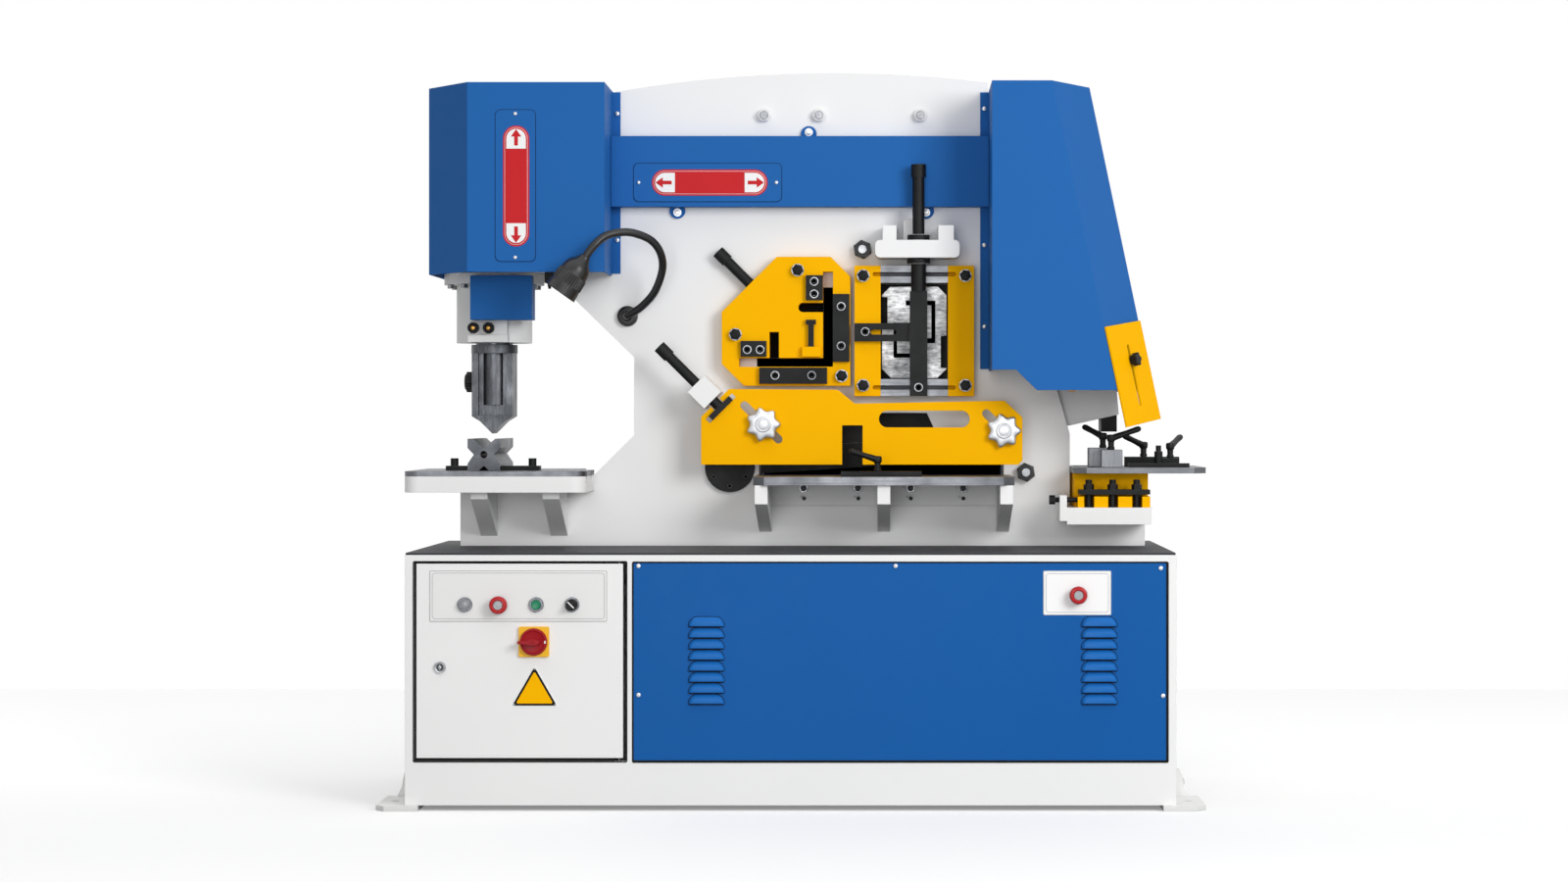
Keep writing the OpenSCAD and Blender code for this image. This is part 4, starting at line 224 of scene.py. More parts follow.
def raised(place, height):
    return place @ Matrix.Translation((0, 0, height))


def spun(place, degrees):
    return place @ Matrix.Rotation(math.radians(degrees), 4, "Z")


def span(x, z):
    # Middle, width and height of a field that is given by its edges
    return (x[0] + x[1]) / 2, (z[0] + z[1]) / 2, x[1] - x[0], z[1] - z[0]


def rectangle(x, z):
    return [(x[0], z[0]), (x[1], z[0]), (x[1], z[1]), (x[0], z[1])]


def arc(x, y, r, start, turn, steps):
    angles = [math.radians(start + turn * k / steps) for k in range(steps + 1)]
    return [(x + r * math.cos(a), y + r * math.sin(a)) for a in angles]


def round_outline(w, h, r, steps=6):
    x, y = w / 2 - r, h / 2 - r
    corners = ((x, y, 0), (-x, y, 90), (-x, -y, 180), (x, -y, 270))
    return [point for x, y, start in corners for point in arc(x, y, r, start, 90, steps)]


def prism(bm, outline, place, height, bevel=0.0, top_outline=None, segments=1):
    # An outline raised to a flat top, which may have an outline of its own
    low = [bm.verts.new(place @ Vector((x, y, 0))) for x, y in outline]
    high = [bm.verts.new(place @ Vector((x, y, height))) for x, y in top_outline or outline]
    bm.faces.new(low[::-1])
    top = bm.faces.new(high)
    for i in range(len(low)):
        k = (i + 1) % len(low)
        bm.faces.new([low[i], low[k], high[k], high[i]])
    if bevel:
        bmesh.ops.bevel(bm, geom=list(top.edges), offset=bevel, segments=segments,
                        affect="EDGES", profile=0.5)


def lathe(bm, profile, place, segments):
    # Turns (radius, height) pairs round local Z. A radius may also be a function of the angle.
    rings = []
    turns = [2 * math.pi * i / segments for i in range(segments)]
    for r, h in profile:
        reach = r if callable(r) else (lambda angle, fixed=r: fixed)
        if not callable(r) and r < 1e-6:
            rings.append([bm.verts.new(place @ Vector((0, 0, h)))])
        else:
            rings.append([bm.verts.new(place @ Vector((reach(a) * math.cos(a),
                                                       reach(a) * math.sin(a), h)))
                          for a in turns])
    for low, high in zip(rings, rings[1:]):
        for i in range(segments):
            corners = [low[i % len(low)], low[(i + 1) % len(low)],
                       high[(i + 1) % len(high)], high[i % len(high)]]
            corners = [c for k, c in enumerate(corners) if c not in corners[:k]]
            if len(corners) > 2:
                bm.faces.new(corners)
    for ring, turn in ((rings[0], -1), (rings[-1], 1)):
        if len(ring) > 1:
            bm.faces.new(ring[::turn])


def piece(name, bm, material, body, slot):
    bmesh.ops.recalc_face_normals(bm, faces=bm.faces)
    mesh = bpy.data.meshes.new(name)
    bm.to_mesh(mesh)
    bm.free()
    mesh.polygons.foreach_set("use_smooth", [True] * len(mesh.polygons))
    mesh.set_sharp_from_angle(angle=math.radians(35))
    mesh.materials.append(material)
    made = bpy.data.objects.new(name, mesh)
    scene.collection.objects.link(made)
    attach(made, body)
    return made


def cut_plate(name, outline, place, height, bevel, *finish):
    # A whole piece from one outline
    bm = bmesh.new()
    prism(bm, outline, place, height, bevel)
    return piece(name, bm, *finish)


def turned(name, profile, place, segments, *finish):
    # A whole piece from one turned profile
    bm = bmesh.new()
    lathe(bm, profile, place, segments)
    return piece(name, bm, *finish)


def pan_screw(bm, place, d):
    # Domed head with the raised edges of a cross recess
    h = 0.38 * d
    lathe(bm, [(d / 2, 0), (d / 2, 0.3 * h), (0.42 * d, 0.75 * h), (0.25 * d, h), (0, h)],
          place, 20)
    for turn in (45, 135):
        prism(bm, rectangle((-0.28 * d, 0.28 * d), (-0.05 * d, 0.05 * d)),
              spun(raised(place, h - 0.0002), turn), 0.0004)


def metal(name, light, dark, roughness, lines_mm=None, metallic=1.0, edge_light=None,
          specular=0.5):
    # Bare or blackened steel. Grinding leaves fine lines along one direction, drawn a little
    # coarser than they are so that they show, and handling leaves cloudy patches of gloss.
    patch_mm, fine_mm = 70, 4
    steel = bpy.data.materials.new(name)
    steel.use_nodes = True
    tree = steel.node_tree
    place = {"Vector": add_node(tree, "ShaderNodeTexCoord", {}, {}).outputs["Object"]}
    patches = add_node(tree, "ShaderNodeTexNoise",
                       {"Scale": 1000 / patch_mm, "Detail": 5.0, "Roughness": 0.6}, place)
    if lines_mm:
        stretch = add_node(tree, "ShaderNodeMapping", {"Scale": [1000 / mm for mm in lines_mm]},
                           place)
        lines = add_node(tree, "ShaderNodeTexNoise", {"Scale": 1.0, "Detail": 3.0},
                         {"Vector": stretch.outputs[0]})
    else:
        lines = add_node(tree, "ShaderNodeTexNoise", {"Scale": 1000 / fine_mm, "Detail": 3.0},
                         place)
    blend = add_node(tree, "ShaderNodeMath", {}, {0: patches.outputs[0], 1: lines.outputs[0]},
                     operation="MULTIPLY")
    spread = add_node(tree, "ShaderNodeMapRange", {"From Min": 0.12, "From Max": 0.42},
                      {"Value": blend.outputs[0]})
    tone = add_node(tree, "ShaderNodeMix", {6: linear(dark), 7: linear(light)},
                    {0: spread.outputs[0]}, data_type="RGBA")
    edge = add_node(tree, "ShaderNodeBevel", {"Radius": 0.0012}, {}, samples=4)
    colour = tone.outputs[2]
    if edge_light:
        # Handling rubs the edges bright, where the rounded normal leaves the true one
        flat = add_node(tree, "ShaderNodeNewGeometry", {}, {})
        bend = add_node(tree, "ShaderNodeVectorMath", {},
                        {0: edge.outputs[0], 1: flat.outputs["True Normal"]},
                        operation="DOT_PRODUCT")
        rub = add_node(tree, "ShaderNodeMapRange", {"From Min": 0.995, "From Max": 0.85},
                       {"Value": bend.outputs["Value"]})
        worn = add_node(tree, "ShaderNodeMath", {}, {0: rub.outputs[0], 1: patches.outputs[0]},
                        operation="MULTIPLY")
        rubbed = add_node(tree, "ShaderNodeMix", {7: linear(edge_light)},
                          {0: worn.outputs[0], 6: colour}, data_type="RGBA")
        colour = rubbed.outputs[2]
    gloss = add_node(tree, "ShaderNodeMapRange",
                     {"From Min": 0.25, "From Max": 0.75, "To Min": roughness + 0.1,
                      "To Max": roughness - 0.08}, {"Value": patches.outputs[0]})
    bump = add_node(tree, "ShaderNodeBump", {"Strength": 0.15, "Distance": 0.00015},
                    {"Height": lines.outputs[0], "Normal": edge.outputs[0]})
    add_node(tree, "Principled BSDF", {"Metallic": metallic, "Specular IOR Level": specular},
             {"Base Color": colour, "Roughness": gloss.outputs[0], "Normal": bump.outputs[0]})
    return steel


def cut(made, cutter_bm):
    cutter_mesh = bpy.data.meshes.new("cutter")
    cutter_bm.to_mesh(cutter_mesh)
    cutter_bm.free()
    cutter = bpy.data.objects.new("cutter", cutter_mesh)
    scene.collection.objects.link(cutter)
    step = made.modifiers.new("cut", "BOOLEAN")
    step.operation = "DIFFERENCE"
    step.object = cutter
    with bpy.context.temp_override(object=made, active_object=made):
        bpy.ops.object.modifier_apply(modifier=step.name)
    bpy.data.objects.remove(cutter)


def bore(made, holes, y):
    # Drills round holes from the front: (x, z, diameter) each
    for x, z, d in holes:
        drill = bmesh.new()
        lathe(drill, [(d / 2, -0.02), (d / 2, 0.02)], facing_front(x, y, z), 40)
        cut(made, drill)


def both_sides(right):
    # A symmetrical outline from its right half, which runs upwards
    left = [(-x, z) for x, z in right[::-1]]
    return left[-1:] + right + left[:-1]


# Blue powder coat, with a lighter blue on the pressed hoods as a painted highlight where they
# catch the light. New zinc plate shows as small pale sparks on it.
blue_coat = painted_steel("blue_powder_coat", "#0E5AA3", "#0B569D", 0.42, specular=0.1)
louvre_highlight_coat = painted_steel("blue_louvre_coat_painted_highlight", "#1A68B5", "#1664B0", 0.4, specular=0.15)
bright_zinc = metal("bright_zinc_screws", "#DADBDD", "#BFC0C3", 0.42)
panel_skin, panel_t = -0.350, 0.003
panel_mid_x, panel_mid_z, panel_w, panel_h = span((-0.3605, 0.8625), (0.1155, 0.5685))
panel_stop, panel_stop_hole = (0.6595, 0.4955), 0.0345
sheet = cut_plate("front_panel_sheet", round_outline(panel_w, panel_h, 0.003),
                  facing_front(panel_mid_x, panel_skin + panel_t, panel_mid_z), panel_t, 0.0005,
                  blue_coat, "frame", "cover_blue")
bore(sheet, [panel_stop + (panel_stop_hole,)], panel_skin)
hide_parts("front_panel")

louvre_pitch, louvre_low, louvre_reach = 0.0254, 0.2455, 0.0092
louvres = [(x, louvre_low + louvre_pitch * i) for x in (-0.1935, 0.7085) for i in range(8)]
louvre_base = both_sides([(0.0415, 0), (0.0405, 0.008), (0.036, 0.015), (0.029, 0.0205),
                          (0.022, 0.022)])
louvre_front = both_sides([(0.037, 0.0004), (0.0355, 0.004), (0.033, 0.008), (0.0295, 0.0115),
                           (0.0265, 0.0125)])
bm = bmesh.new()
for x, z in louvres:
    prism(bm, louvre_base, facing_front(x, panel_skin + 0.0002, z), louvre_reach, 0.0012,
          louvre_front, 2)
piece("panel_louvres", bm, louvre_highlight_coat, "frame", "cover_blue")
panel_screw_d = 0.011
bm = bmesh.new()
for x, z in ((-0.349, 0.562), (-0.349, 0.266), (0.850, 0.557), (0.855, 0.264), (0.241, 0.562)):
    pan_screw(bm, facing_front(x, panel_skin, z), panel_screw_d)
piece("panel_screws", bm, bright_zinc, "frame", "tool_steel")

# CONTROL PLATES
# White plates of laminated plastic behind the push buttons, bonded to the door and to the front
# panel, each with two printed lines. Black rubber seals the panel's edge, with a wider band to
# the right and below as painted shadow, and black painted shade lies under and round the louvres.


def moulded(name, face, shade, roughness, grain_mm=2.0, specular=0.5):
    # Moulded plastic: even colour with a fine spark-eroded grain that breaks up the gloss
    plastic = bpy.data.materials.new(name)
    plastic.use_nodes = True
    tree = plastic.node_tree
    place = {"Vector": add_node(tree, "ShaderNodeTexCoord", {}, {}).outputs["Object"]}
    grain = add_node(tree, "ShaderNodeTexNoise", {"Scale": 1000 / grain_mm, "Detail": 2.0}, place)
    tone = add_node(tree, "ShaderNodeMix", {6: linear(face), 7: linear(shade)},
                    {0: grain.outputs[0]}, data_type="RGBA")
    gloss = add_node(tree, "ShaderNodeMapRange",
                     {"To Min": roughness - 0.05, "To Max": roughness + 0.08},
                     {"Value": grain.outputs[0]})
    edge = add_node(tree, "ShaderNodeBevel", {"Radius": 0.0008}, {}, samples=4)
    bump = add_node(tree, "ShaderNodeBump", {"Strength": 0.2, "Distance": 0.0001},
                    {"Height": grain.outputs[0], "Normal": edge.outputs[0]})
    add_node(tree, "Principled BSDF", {"IOR": 1.52, "Specular IOR Level": specular},
             {"Base Color": tone.outputs[2], "Roughness": gloss.outputs[0],
              "Normal": bump.outputs[0]})
    return plastic


def band(bm, outer, inner, place, height):
    # A closed strip between two outlines with as many points each
    loops = [[bm.verts.new(place @ Vector((x, y, h))) for x, y in outline]
             for outline, h in ((outer, 0), (outer, height), (inner, height), (inner, 0))]
    for here, there in zip(loops, loops[1:] + loops[:1]):
        for i in range(len(outer)):
            k = (i + 1) % len(outer)
            bm.faces.new([here[i], here[k], there[k], there[i]])


# Laminated plastic looks flat and clean and its ink dull. Black rubber swallows the light, and the
# same black is painted shade round the panel and the louvres.
label_white = moulded("laminated_label_white", "#F5F5F5", "#F1F1F1", 0.4, specular=0.2)
label_grey = moulded("laminated_label_grey", "#E9E9E8", "#E5E5E4", 0.4, specular=0.2)
label_ink = moulded("printed_ink_grey", "#9EA0A3", "#94969A", 0.4)
seal_and_shade_black = moulded("black_rubber_and_painted_shade", "#0B0B0C", "#101011", 0.7, specular=0.15)
seal_t, seal_gap, seal_lap, seal_shadow_shift = 0.0009, 0.0004, 0.0092, 0.001
# Painted shadow: the band is shifted right and down, so that it lies wider on those sides
seal_outer = [(x + seal_shadow_shift, z - seal_shadow_shift)
              for x, z in round_outline(panel_w + seal_lap, panel_h + seal_lap, 0.004)]
bm = bmesh.new()
band(bm, seal_outer, round_outline(panel_w + seal_gap, panel_h + seal_gap, 0.003),
     facing_front(panel_mid_x, panel_skin - 0.0001, panel_mid_z), seal_t)
# Painted shade: a black strip under each louvre and a thin black band round its foot
louvre_shade_strip = [(-0.040, -0.0030), (0.040, -0.0030), (0.041, 0.0006), (-0.041, 0.0006)]
louvre_crease_shade = [(x * 1.03, z * 1.05) for x, z in louvre_base]
for x, z in louvres:
    place = facing_front(x, panel_skin, z)
    prism(bm, louvre_shade_strip, place, 0.0006)
    band(bm, louvre_crease_shade, louvre_base, place, 0.0004)
piece("panel_seal_and_louvre_shade", bm, seal_and_shade_black, "frame", "black_plastic")
plate_t, line_w = 0.0012, 0.0011


def control_plate(name, x, z, y, holes, body, face):
    # A thin bonded plate cut round what passes through it, with two printed lines near its edge
    mid_x, mid_z, w, h = span(x, z)
    middle = facing_front(mid_x, y, mid_z)
    made = cut_plate(name, round_outline(w, h, 0.003), middle, plate_t, 0.0004, face, body,
                     "fitting_grey")
    bore(made, holes, y)
    bm = bmesh.new()
    for inset, r in ((0.0005, 0.0025), (0.006, 0.007)):
        wide, tall = w - 2 * inset, h - 2 * inset
        band(bm, round_outline(wide, tall, r),
             round_outline(wide - 2 * line_w, tall - 2 * line_w, r - line_w),
             raised(middle, plate_t), 0.0001)
    piece(name + "_line", bm, label_ink, body, "fitting_grey")


door_skin = -0.350
control_row = 0.473
control_x = (-0.748, -0.669, -0.584, -0.502)
control_hole = 0.0352
control_plate("door_control_plate", (-0.829, -0.421), (0.434, 0.552), door_skin,
              [(x, control_row, control_hole) for x in control_x], "door", label_grey)
control_plate("panel_stop_plate", (0.580, 0.736), (0.449, 0.551), panel_skin,
              [panel_stop + (control_hole,)], "frame", label_white)

# DOOR
# The folded steel door of the electrical enclosure, white like the cabinet, on two pivot pins
# with a rubber seal. A plain yellow triangle is riveted under the main switch.
dress(white_coat, "electrical_door")
opening_x, opening_z = (-0.865, -0.377), (0.113, 0.571)
leaf_x, leaf_z = -0.8594, (0.1206, 0.5674)
seal_end = -0.404
bm = bmesh.new()
prism(bm, [(seal_end, opening_z[0]), (opening_x[0], opening_z[0]), (opening_x[0], opening_z[1]),
           (seal_end, opening_z[1]), (seal_end, leaf_z[1]), (leaf_x, leaf_z[1]),
           (leaf_x, leaf_z[0]), (seal_end, leaf_z[0])],
      facing_front(0, door_skin + 0.014, 0), 0.0115)
opening_mid_x, opening_mid_z, opening_w, opening_h = span(opening_x, opening_z)
band(bm, round_outline(opening_w + 0.0044, opening_h + 0.0044, 0.004),
     round_outline(opening_w, opening_h, 0.003),
     facing_front(opening_mid_x, door_skin - 0.0001, opening_mid_z), seal_t)
piece("door_seal", bm, seal_and_shade_black, "frame", "black_plastic")
# Yellow powder coat keeps its full colour, black print frames it, and old zinc plate is dull
yellow_coat = painted_steel("yellow_powder_coat", "#FFBC00", "#FAB500", 0.5, specular=0.03)
black_ink = moulded("black_printed_plastic", "#060607", "#0A0A0B", 0.5, specular=0.1)
zinc = metal("zinc_plated_steel", "#97999C", "#6F7175", 0.34)


def triangle(side, r):
    # Three equal sides with rounded corners, standing on its base
    tall = side * math.sqrt(3) / 2
    middle = Vector((0, tall / 3))
    outline = []
    for tip in (Vector((-side / 2, 0)), Vector((side / 2, 0)), Vector((0, tall))):
        out = (tip - middle).normalized()
        centre = tip - out * (2 * r)
        start = math.degrees(math.atan2(out[1], out[0])) - 60
        outline += arc(centre[0], centre[1], r, start, 120, 5)
    return outline


triangle_x, triangle_z = -0.588, 0.239
for name, width, rise, height, *finish in (
        ("triangle_back", 0.111, 0.0, 0.0006, label_white, "door", "fitting_grey"),
        ("triangle_edge", 0.103, 0.0022, 0.0009, black_ink, "door", "black_plastic"),
        ("triangle_face", 0.086, 0.0070, 0.0012, yellow_coat, "door", "guard_yellow")):
    cut_plate(name, triangle(width, 0.003), facing_front(triangle_x, door_skin, triangle_z + rise),
              height, 0, *finish)
bm = bmesh.new()
for x, z in ((-0.0470, 0.0045), (0.0470, 0.0045), (0.0, 0.0865)):
    lathe(bm, [(0.0026, 0), (0.0024, 0.0008), (0.0014, 0.0014), (0, 0.0015)],
          facing_front(triangle_x + x, door_skin - 0.0006, triangle_z + z), 16)
piece("triangle_rivets", bm, zinc, "door", "tool_steel")

# CONTROLS
# Plastic push buttons, a knob selector and a rotary main switch in standard round bezels.
# The stop buttons are red mushrooms with a pale disc, and the main switch is a dark red handle
# on a yellow plate.

# Moulded plastic in strong colours with a soft shine, in plated bezels that mirror the dark
red_plastic = moulded("red_gloss_plastic", "#B5131B", "#A81018", 0.3, specular=0.25)
dark_red_plastic = moulded("dark_red_plastic", "#A0121E", "#95101B", 0.36, specular=0.15)
green_plastic = moulded("green_gloss_plastic", "#0C7F58", "#0A7852", 0.28, specular=0.3)
black_plastic = moulded("black_moulded_plastic", "#0B0B0C", "#121213", 0.5, specular=0.2)
pale_plastic = moulded("pale_grey_plastic", "#A3A5A8", "#94969A", 0.3)
lens_plastic = moulded("grey_pilot_lens", "#8F9194", "#85878A", 0.25)
yellow_plastic = moulded("yellow_gloss_plastic", "#F3B90C", "#EBB20A", 0.35, specular=0.25)
chrome_ring = metal("plated_bezel", "#66686C", "#45474B", 0.24)
dress(red_plastic, "panel_stop_button", "door_stop_button")
dress(green_plastic, "start_button")
dress(black_plastic, "mode_selector")
dress(chrome_ring, "door_fittings", "door_lock")


def front_of(name):
    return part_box(name)[0][1]


def ring(bm, profile, place, segments):
    # A turned ring, whose profile closes on itself
    lathe(bm, profile + profile[:1], place, segments)
    bmesh.ops.remove_doubles(bm, verts=bm.verts, dist=1e-6)


def rim_of(outline):
    # How far an outline reaches along a ray from its middle
    def reach(angle):
        ray = Vector((math.cos(angle), math.sin(angle)))
        best = None
        for a, b in zip(outline, outline[1:] + outline[:1]):
            dx, dy = b[0] - a[0], b[1] - a[1]
            det = ray[0] * -dy + ray[1] * dx
            if abs(det) < 1e-12:
                continue
            t = (a[0] * -dy + a[1] * dx) / det
            u = (ray[0] * a[1] - ray[1] * a[0]) / det
            if t > 0 and -1e-6 <= u <= 1 + 1e-6:
                best = t if best is None else max(best, t)
        return best
    return reach


switch_x, switch_z = -0.589, 0.388
switch_side, switch_seat, switch_hole = 0.0695, 0.0062, 0.0309
switch_rim = rim_of(round_outline(switch_side, switch_side, 0.003))
bm = bmesh.new()
ring(bm, [(switch_hole / 2, 0), (switch_rim, 0), (switch_rim, switch_seat),
          (switch_hole / 2, switch_seat)], facing_front(switch_x, door_skin, switch_z), 96)
piece("main_switch_plate", bm, yellow_plastic, "door", "fitting_grey")
switch_face = facing_front(switch_x, door_skin - switch_seat - 0.0002, switch_z)
grip = [(-0.0352, 0.0), (-0.0345, 0.0030), (-0.0200, 0.0042), (-0.0060, 0.0058), (0.0, 0.0072),
        (0.0070, 0.0066), (0.0140, 0.0032), (0.0165, 0.0)]
grip += [(x, -z) for x, z in grip[-2:0:-1]]
bm = bmesh.new()
lathe(bm, [(0.0150, -0.030), (0.0150, 0), (0.0312, 0), (0.0316, 0.004), (0.0306, 0.0085),
           (0.0290, 0.0100), (0.0268, 0.0100), (0.0256, 0.0086), (0.0240, 0.0080), (0, 0.0080)],
      switch_face, 64)
prism(bm, grip[::-1], raised(switch_face, 0.0078), 0.0195, 0.0012)
lathe(bm, [(0.0026, 0), (0.0026, 0.0010), (0.0016, 0.0016), (0, 0.0016)],
      switch_face @ Matrix.Translation((0.001, 0, 0.0272)), 16)
handle = piece("main_switch_grip", bm, dark_red_plastic, "main_switch", "button_red")
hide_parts("main_switch_handle")
cut_plate("main_switch_mark", rectangle((0.0250, 0.0285), (-0.0032, 0.0032)),
          raised(switch_face, 0.0098), 0.0005, 0, label_white, "main_switch", "fitting_grey")

turned("power_pilot_lens",
       [(0.0114, 0), (0.0114, 0.0066), (0.0108, 0.0080), (0.0092, 0.0086), (0.0086, 0.0080),
        (0.0080, 0.0088), (0.004, 0.0096), (0, 0.0098)],
       facing_front(control_x[0], door_skin - 0.006, control_row), 32,
       lens_plastic, "door", "fitting_grey")
turned("start_button_cap",
       [(0.0109, 0), (0.0107, 0.0010), (0.0098, 0.0019), (0.0088, 0.0015), (0.004, 0.0013),
        (0, 0.0013)], facing_front(control_x[2], door_skin - 0.011, control_row), 32,
       green_plastic, "start", "button_green")
cut_plate("selector_pointer", rectangle((-0.0013, 0.0013), (-0.0095, 0.0112)),
          spun(facing_front(control_x[3], door_skin - 0.0240, control_row), 45), 0.0005, 0,
          label_white, "selector", "black_plastic")
lock_at = facing_front(-0.805, front_of("door_lock"), 0.329)
turned("lock_core", [(0.0070, 0.0), (0.0070, 0.0005), (0, 0.0005)], lock_at, 32,
       black_plastic, "lock", "black_plastic")
bm = bmesh.new()
lathe(bm, [(0.0130, 0.0), (0.0130, 0.0006), (0.0122, 0.0014), (0.0092, 0.0014), (0.0072, 0.0002),
           (0.0072, 0.0)], lock_at, 40)
lathe(bm, [(0.0048, 0.0004), (0.0048, 0.0010), (0.0042, 0.0014), (0, 0.0014)], lock_at, 24)
prism(bm, rectangle((-0.0012, 0.0012), (-0.0066, 0.0066)), raised(lock_at, 0.0004), 0.0009)
piece("lock_ring_and_key_bit", bm, zinc, "lock", "tool_steel")


def stop_cap(name, x, y, z, body):
    # Red mushroom rim with a pale disc let into its face
    bm = bmesh.new()
    ring(bm, [(0.0204, -0.0115), (0.0206, -0.0050), (0.0200, -0.0010), (0.0180, 0.0022),
              (0.0150, 0.0034), (0.0122, 0.0030), (0.0110, 0.0014), (0.0108, 0.0006),
              (0.0108, -0.0115)], facing_front(x, y, z), 48)
    piece(name, bm, red_plastic, body, "button_red")
    turned(name + "_disc",
           [(0.0106, 0.0004), (0.0106, 0.0012), (0.0094, 0.0019), (0.0080, 0.0016),
            (0.0040, 0.0022), (0, 0.0023)], facing_front(x, y, z), 40,
           pale_plastic, body, "fitting_grey")


stop_face = front_of("door_stop_button") + 0.0005
stop_cap("door_stop_cap", control_x[1], stop_face, control_row, "door_stop")
stop_cap("panel_stop_cap", panel_stop[0], stop_face, panel_stop[1], "panel_stop")
collar_back = panel_skin + 0.026
bm = bmesh.new()
ring(bm, [(0.0082, 0.0), (0.0120, 0.0), (0.0120, 0.026), (0.0170, 0.026), (0.0170, 0.0312),
          (0.0160, 0.0320), (0.0082, 0.0320)],
     facing_front(panel_stop[0], collar_back, panel_stop[1]), 40)
piece("panel_stop_collar", bm, chrome_ring, "frame", "tool_steel")

# INSIDE THE CABINET
# Switchgear of grey plastic on a mounting plate, and an oil tank with its motor, pump and valves
# in slate machine paint.

# Machine paint looks soft and dusty, and the plastic of switchgear pale and dull
tank_coat = painted_steel("slate_machine_paint", "#4A5561", "#434D58", 0.4)
gear_plastic = moulded("pale_grey_switchgear", "#D8D8D6", "#CFCFCD", 0.45)
dress(gear_plastic, "electrical_gear")
dress(tank_coat, "oil_tank", "pump_set")

# FRAME
# Two thick flame-cut steel plates with the beam between them, held by ties and webs, with
# welded brackets on the front. All of it is coated white, and the two large tie nuts stay dark.

# The frame's white is a touch lighter than the cabinet's, as painted light against the shade on it.
# Oxide turns steel black, with edges that handling rubs pale.
frame_lightened_coat = painted_steel("white_frame_coat_painted_light", "#F1F1F1", "#ECECEC", 0.42)
black_steel = metal("black_oxide_steel", "#0F1011", "#08090A", 0.5, metallic=0.1,
                    edge_light="#6A6B6F", specular=0.2)
nut_steel = metal("dark_nut_steel", "#2E2F31", "#1B1C1E", 0.4, metallic=0.5,
                  edge_light="#9A9CA0", specular=0.3)
dress(frame_lightened_coat, "front_frame_plate", "rear_frame_plate", "frame_brackets", "frame_ties")
dress(black_steel, "pivot_shaft")


def hexagon(flats):
    return lambda a: flats / 2 / math.cos((a + math.pi / 6) % (math.pi / 3) - math.pi / 6)


def cap_screw(bm, place, d, h):
    # Socket-head cap screw with a chamfered rim and a hexagon socket
    rim = 0.08 * d
    socket = hexagon(0.52 * d)
    lathe(bm, [(d / 2, 0), (d / 2, h - rim), (d / 2 - rim, h), (socket, h),
               (socket, h - 0.45 * d), (0, h - 0.5 * d)], place, 24)


cap_face = front_of("pivot_shaft")
cap_x, cap_z, cap_circle = -0.159, 0.782, 0.045
bm = bmesh.new()
for i in range(6):
    a = math.radians(30 + 60 * i)
    cap_screw(bm, facing_front(cap_x + cap_circle * math.cos(a), cap_face,
                               cap_z + cap_circle * math.sin(a)), 0.013, 0.004)
piece("pivot_cap_screws", bm, nut_steel, "frame", "black_steel")
big_ties = ((0.162, 1.309), (0.557, 0.770))
bm = bmesh.new()
for x, z in ((-0.076, 1.634), (0.057, 1.634), (0.302, 1.634)):
    lathe(bm, [(0.0105, 0), (0.0105, 0.002), (0.0095, 0.003), (0, 0.003)],
          facing_front(x, 0.0242, z), 28)
for x, z in big_ties:
    lathe(bm, [(0.0112, 0), (0.0112, 0.0050), (0.0100, 0.0065), (0, 0.0068)],
          facing_front(x, 0.0204, z), 28)
piece("tie_stud_ends", bm, zinc, "frame", "tool_steel")
nut_side = hexagon(0.0405)
bm = bmesh.new()
for x, z in big_ties:
    lathe(bm, [(0.0150, 0), (nut_side, 0.0002), (nut_side, 0.0150), (0.0192, 0.0185),
               (0.0114, 0.0185), (0.0114, 0.0160), (0, 0.0160)],
          spun(facing_front(x, 0.0365, z), 8), 48)
piece("big_tie_nuts", bm, nut_steel, "frame", "black_steel")

# BEAM AND BLADES
# The rocking beam in pale primer with bronze bushes, and the hardened blades. The fixed section
# blade has two channel forms, is open at the edges and lies bright with oil in its window. The
# moving blades are screwed to the beam behind it, over a plate, and both are black as painted
# shade behind the guard. Dark floors in the strips' grooves are painted shade too.

# Ground steel shows long fine lines, oil lies on it in bright clouds, bronze is warm and brown,
# and primer looks like chalk, painted a touch lighter against the shade under the cover
ground_steel = metal("ground_tool_steel", "#808286", "#5C5E62", 0.38, (90, 1.2, 1.2))
bright_steel = metal("machined_beam_steel", "#94969A", "#75777B", 0.4, (120, 1.6, 1.6))
oiled_steel = metal("oiled_blade_steel", "#D9DADB", "#5F6165", 0.42, (16, 16, 5), metallic=0.6)
groove_shade_steel = metal("dark_groove_shade_steel", "#3E3F42", "#2A2B2E", 0.42, (60, 2.0, 2.0),
                   edge_light="#85878B")
bronze = metal("bearing_bronze", "#B98D4C", "#94703A", 0.35)
beam_lightened_primer = painted_steel("pale_primer_coat_painted_light", "#F2F2F2", "#ECECEC", 0.45)
dress(beam_lightened_primer, "shear_beam")
dress(bright_steel, "shear_rod")
dress(bronze, "beam_pins")
dress(tank_coat, "shear_cylinder")
section_x, section_z = 0.287, 1.111
channel_left = [(-0.0497, -0.0638), (0.020, -0.0638), (0.020, -0.0532), (-0.0415, -0.0532),
                (-0.0415, 0.0148), (0.020, 0.0148), (0.020, 0.0206), (-0.0497, 0.0206)]
channel_right = [(0.0511, 0.0741), (-0.020, 0.0741), (-0.020, 0.0628), (0.0417, 0.0628),
                 (0.0417, -0.0169), (0.026, -0.0169), (0.026, -0.0286), (0.0511, -0.0286)]


def cut_channels(made, back):
    for outline in (channel_left, channel_right):
        form = bmesh.new()
        prism(form, outline, facing_front(section_x, back, section_z), 0.05)
        bmesh.ops.recalc_face_normals(form, faces=form.faces)
        cut(made, form)


